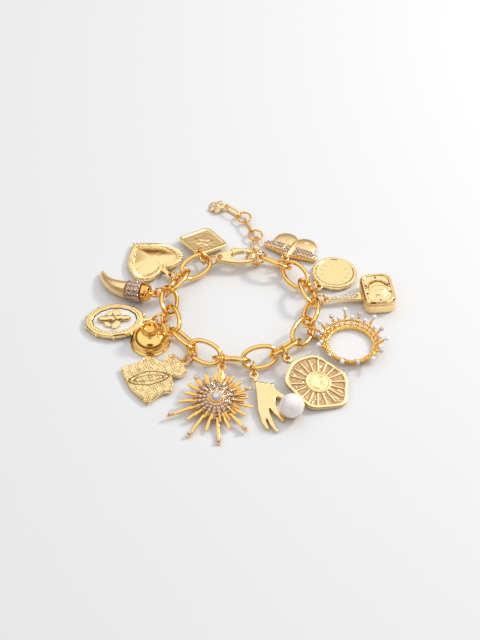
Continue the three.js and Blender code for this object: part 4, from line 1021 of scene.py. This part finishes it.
CROWN_POINTS = 14
LONG_POINT, SHORT_SHARE = 6.43, 0.8
HOOP_RADIUS, HOOP_WIRE = 11.4, 0.9
STEM_BEADS = ((10.4, 2.2, 0.95), (11.5, 3.3, 0.85), (12.7, 4.5, 0.75))
GAP_BEADS = ((10.3, 2.0, 0.8), (10.9, 2.7, 0.7), (11.8, 3.6, 0.6))
pearl_spots, clear_spots, bud_spots, stem_spots = [], [], [], []
for i in range(CROWN_POINTS):
    a = math.radians(180 + 360 / CROWN_POINTS * (i + 0.5))
    slope = LONG_POINT * (1 if i % 2 else SHORT_SHARE) + 0.4
    spot = crown_spot(9.8 + 0.715 * slope, a, 1.5 + 0.70 * slope, 1.03)
    (pearl_spots if i % 2 else clear_spots).append(spot)
    b = a + math.pi / CROWN_POINTS
    if math.sin(b + math.radians(HEADINGS["crown"])) > -0.3:
        bud_spots.append(crown_spot(12.4, b, 4.2, 0.95))
    stem_spots += [crown_spot(out, a, up, size) for out, up, size in STEM_BEADS]
    stem_spots += [crown_spot(out, b, up, size) for out, up, size in GAP_BEADS]
for finish, spots in ((pearl_white, pearl_spots), (crystal, clear_spots)):
    second_finish(crown, finish, lambda x, y, z: np.min(
        [np.hypot(np.hypot(x - sx, y - sy), z - sz) for sx, sy, sz, _, _ in spots], axis=0) < 1.3)
clear_selection()
bpy.ops.mesh.primitive_torus_add(
    major_radius=HOOP_RADIUS, minor_radius=HOOP_WIRE / 2, major_segments=72, minor_segments=10)
hoop_pattern = bpy.context.object
bpy.ops.object.shade_smooth()
crown_hoop = set_many("crown_hoop", hoop_pattern, [(crown_x, crown_y, crown_low + 3.2, 1.0, 0)], amber_gold)
bpy.data.objects.remove(hoop_pattern)
crown_buds = set_many("crown_buds", bead_pattern, bud_spots, pearl_white)
crown_studs = set_many("crown_studs", bead_pattern, stem_spots, mirror_gold)
crown_pearls = set_many("crown_pearls", bead_pattern, pearl_spots, pearl_white)
crown_stones = set_many("crown_stones", bead_pattern, clear_spots, crystal)
settle(crown, crown_place, "bracelet", "polished", "crown")
settle(crown_pearls, crown_place, "bracelet", "pearl")
settle(crown_stones, crown_place, "bracelet", "pave")
settle(crown_hoop, crown_place, "bracelet", "polished")
settle(crown_buds, crown_place, "bracelet", "pearl")
settle(crown_studs, crown_place, "bracelet", "polished")
print("crown pearls:", len(pearl_spots))

# %% [markdown]
# The bell is turned on a lathe. It is grown the same way here: a circle inside its
# mouth is extruded and scaled, ring by ring, round the lip, up the bowl and over the
# edge of its hollow knob. The inside of the knob lies in shade, and that shade is
# painted on with the darker amber finish.

# %% Bell
BELL_RINGS = (  # radius and height in mm, from inside the mouth to inside the knob
    (5.2, 3.0), (6.6, 1.3), (7.5, 0.1), (7.75, 0.0), (8.15, 0.05), (8.3, 0.4), (8.15, 0.8), (7.6, 1.0),
    (7.4, 1.3), (7.35, 2.2), (7.1, 3.3), (6.5, 4.5), (5.6, 5.4), (4.5, 5.95), (3.3, 6.2), (2.8, 6.5),
    (2.7, 7.1), (2.9, 7.8), (3.4, 8.3), (3.6, 8.8), (3.55, 9.2), (3.3, 9.4), (3.0, 9.3), (2.8, 8.6),
    (2.3, 7.7), (1.0, 7.4),
)
low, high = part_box("bell")
bell_axis = Vector(((low.x + high.x) / 2, (low.y + high.y) / 2, 0))
clear_selection()
radius, level = BELL_RINGS[0]
bpy.ops.mesh.primitive_circle_add(
    vertices=64, radius=radius * MM, location=bell_axis + Vector((0, 0, level * MM)))
bell = bpy.context.object
bell.name = "turned_bell"
bpy.ops.object.transform_apply(location=True, rotation=True, scale=True)
bpy.ops.object.mode_set(mode="EDIT")
bpy.ops.mesh.select_all(action="SELECT")
bpy.ops.mesh.edge_face_add()
bpy.ops.mesh.select_all(action="SELECT")
for next_radius, next_level in BELL_RINGS[1:]:
    bpy.ops.mesh.extrude_edges_move(TRANSFORM_OT_translate={"value": (0, 0, (next_level - level) * MM)})
    share = next_radius / radius
    bpy.ops.transform.resize(
        value=(share, share, 1), center_override=bell_axis + Vector((0, 0, next_level * MM)))
    radius, level = next_radius, next_level
bpy.ops.mesh.edge_face_add()
bpy.ops.mesh.select_all(action="SELECT")
bpy.ops.mesh.remove_doubles(threshold=0.001 * MM)
bpy.ops.mesh.normals_make_consistent(inside=False)
bpy.ops.object.mode_set(mode="OBJECT")
bpy.ops.object.shade_smooth_by_angle(angle=math.radians(50))
bell.data.materials.append(mirror_gold)
bell_x, bell_y = bell_axis.x / MM, bell_axis.y / MM
# Painted shade: the inside of the hollow knob takes the darker amber finish.
second_finish(bell, amber_gold, lambda x, y, z: (z > 7.2) & (np.hypot(x - bell_x, y - bell_y) < 2.95))
settle(bell, Matrix.Identity(4), "bracelet", "polished", "bell")
print("bell has", len(bell.data.polygons), "faces")

# %% [markdown]
# The clasp's body and its lever are cast too. They stay two pieces, because the lever
# swings.

# %% Clasp
clasp_body = cast("clasp_body", "cast_clasp_body", Matrix.Identity(4), pale_gold, cell=0.14 * MM, easing=5)
clasp_lever = cast("clasp_lever", "cast_clasp_lever", Matrix.Identity(4), pale_gold, cell=0.14 * MM, easing=5)
settle(clasp_body, Matrix.Identity(4), "bracelet", "polished", "clasp_body")
settle(clasp_lever, Matrix.Identity(4), "lever", "polished", "clasp_lever")
print("clasp has", len(clasp_body.data.polygons), "faces")

# %% [markdown]
# The little flower at the extender's end is set with stones all over.

# %% Flower
flower_place = places["flower"]
flower = cast("flower", "cast_flower", flower_place, pale_gold, cell=0.16 * MM, easing=2)
flower_spots = [(x + 0.35 * (row % 2), y, None, 0.32, 20 * row)
                for row, y in enumerate(np.arange(-2.8, 2.9, 0.7)) for x in np.arange(1.6, 6.6, 0.72)]
flower_stones = set_many(
    "flower_stones", stone_pattern, flower_spots, blush_stone, flower, sink=0.0, tilt=0.4)
settle(flower, flower_place, "bracelet", "pave", "flower")
settle(flower_stones, flower_place, "bracelet", "pave")
bpy.data.objects.remove(stone_pattern)
bpy.data.objects.remove(bead_pattern)
print("flower done")
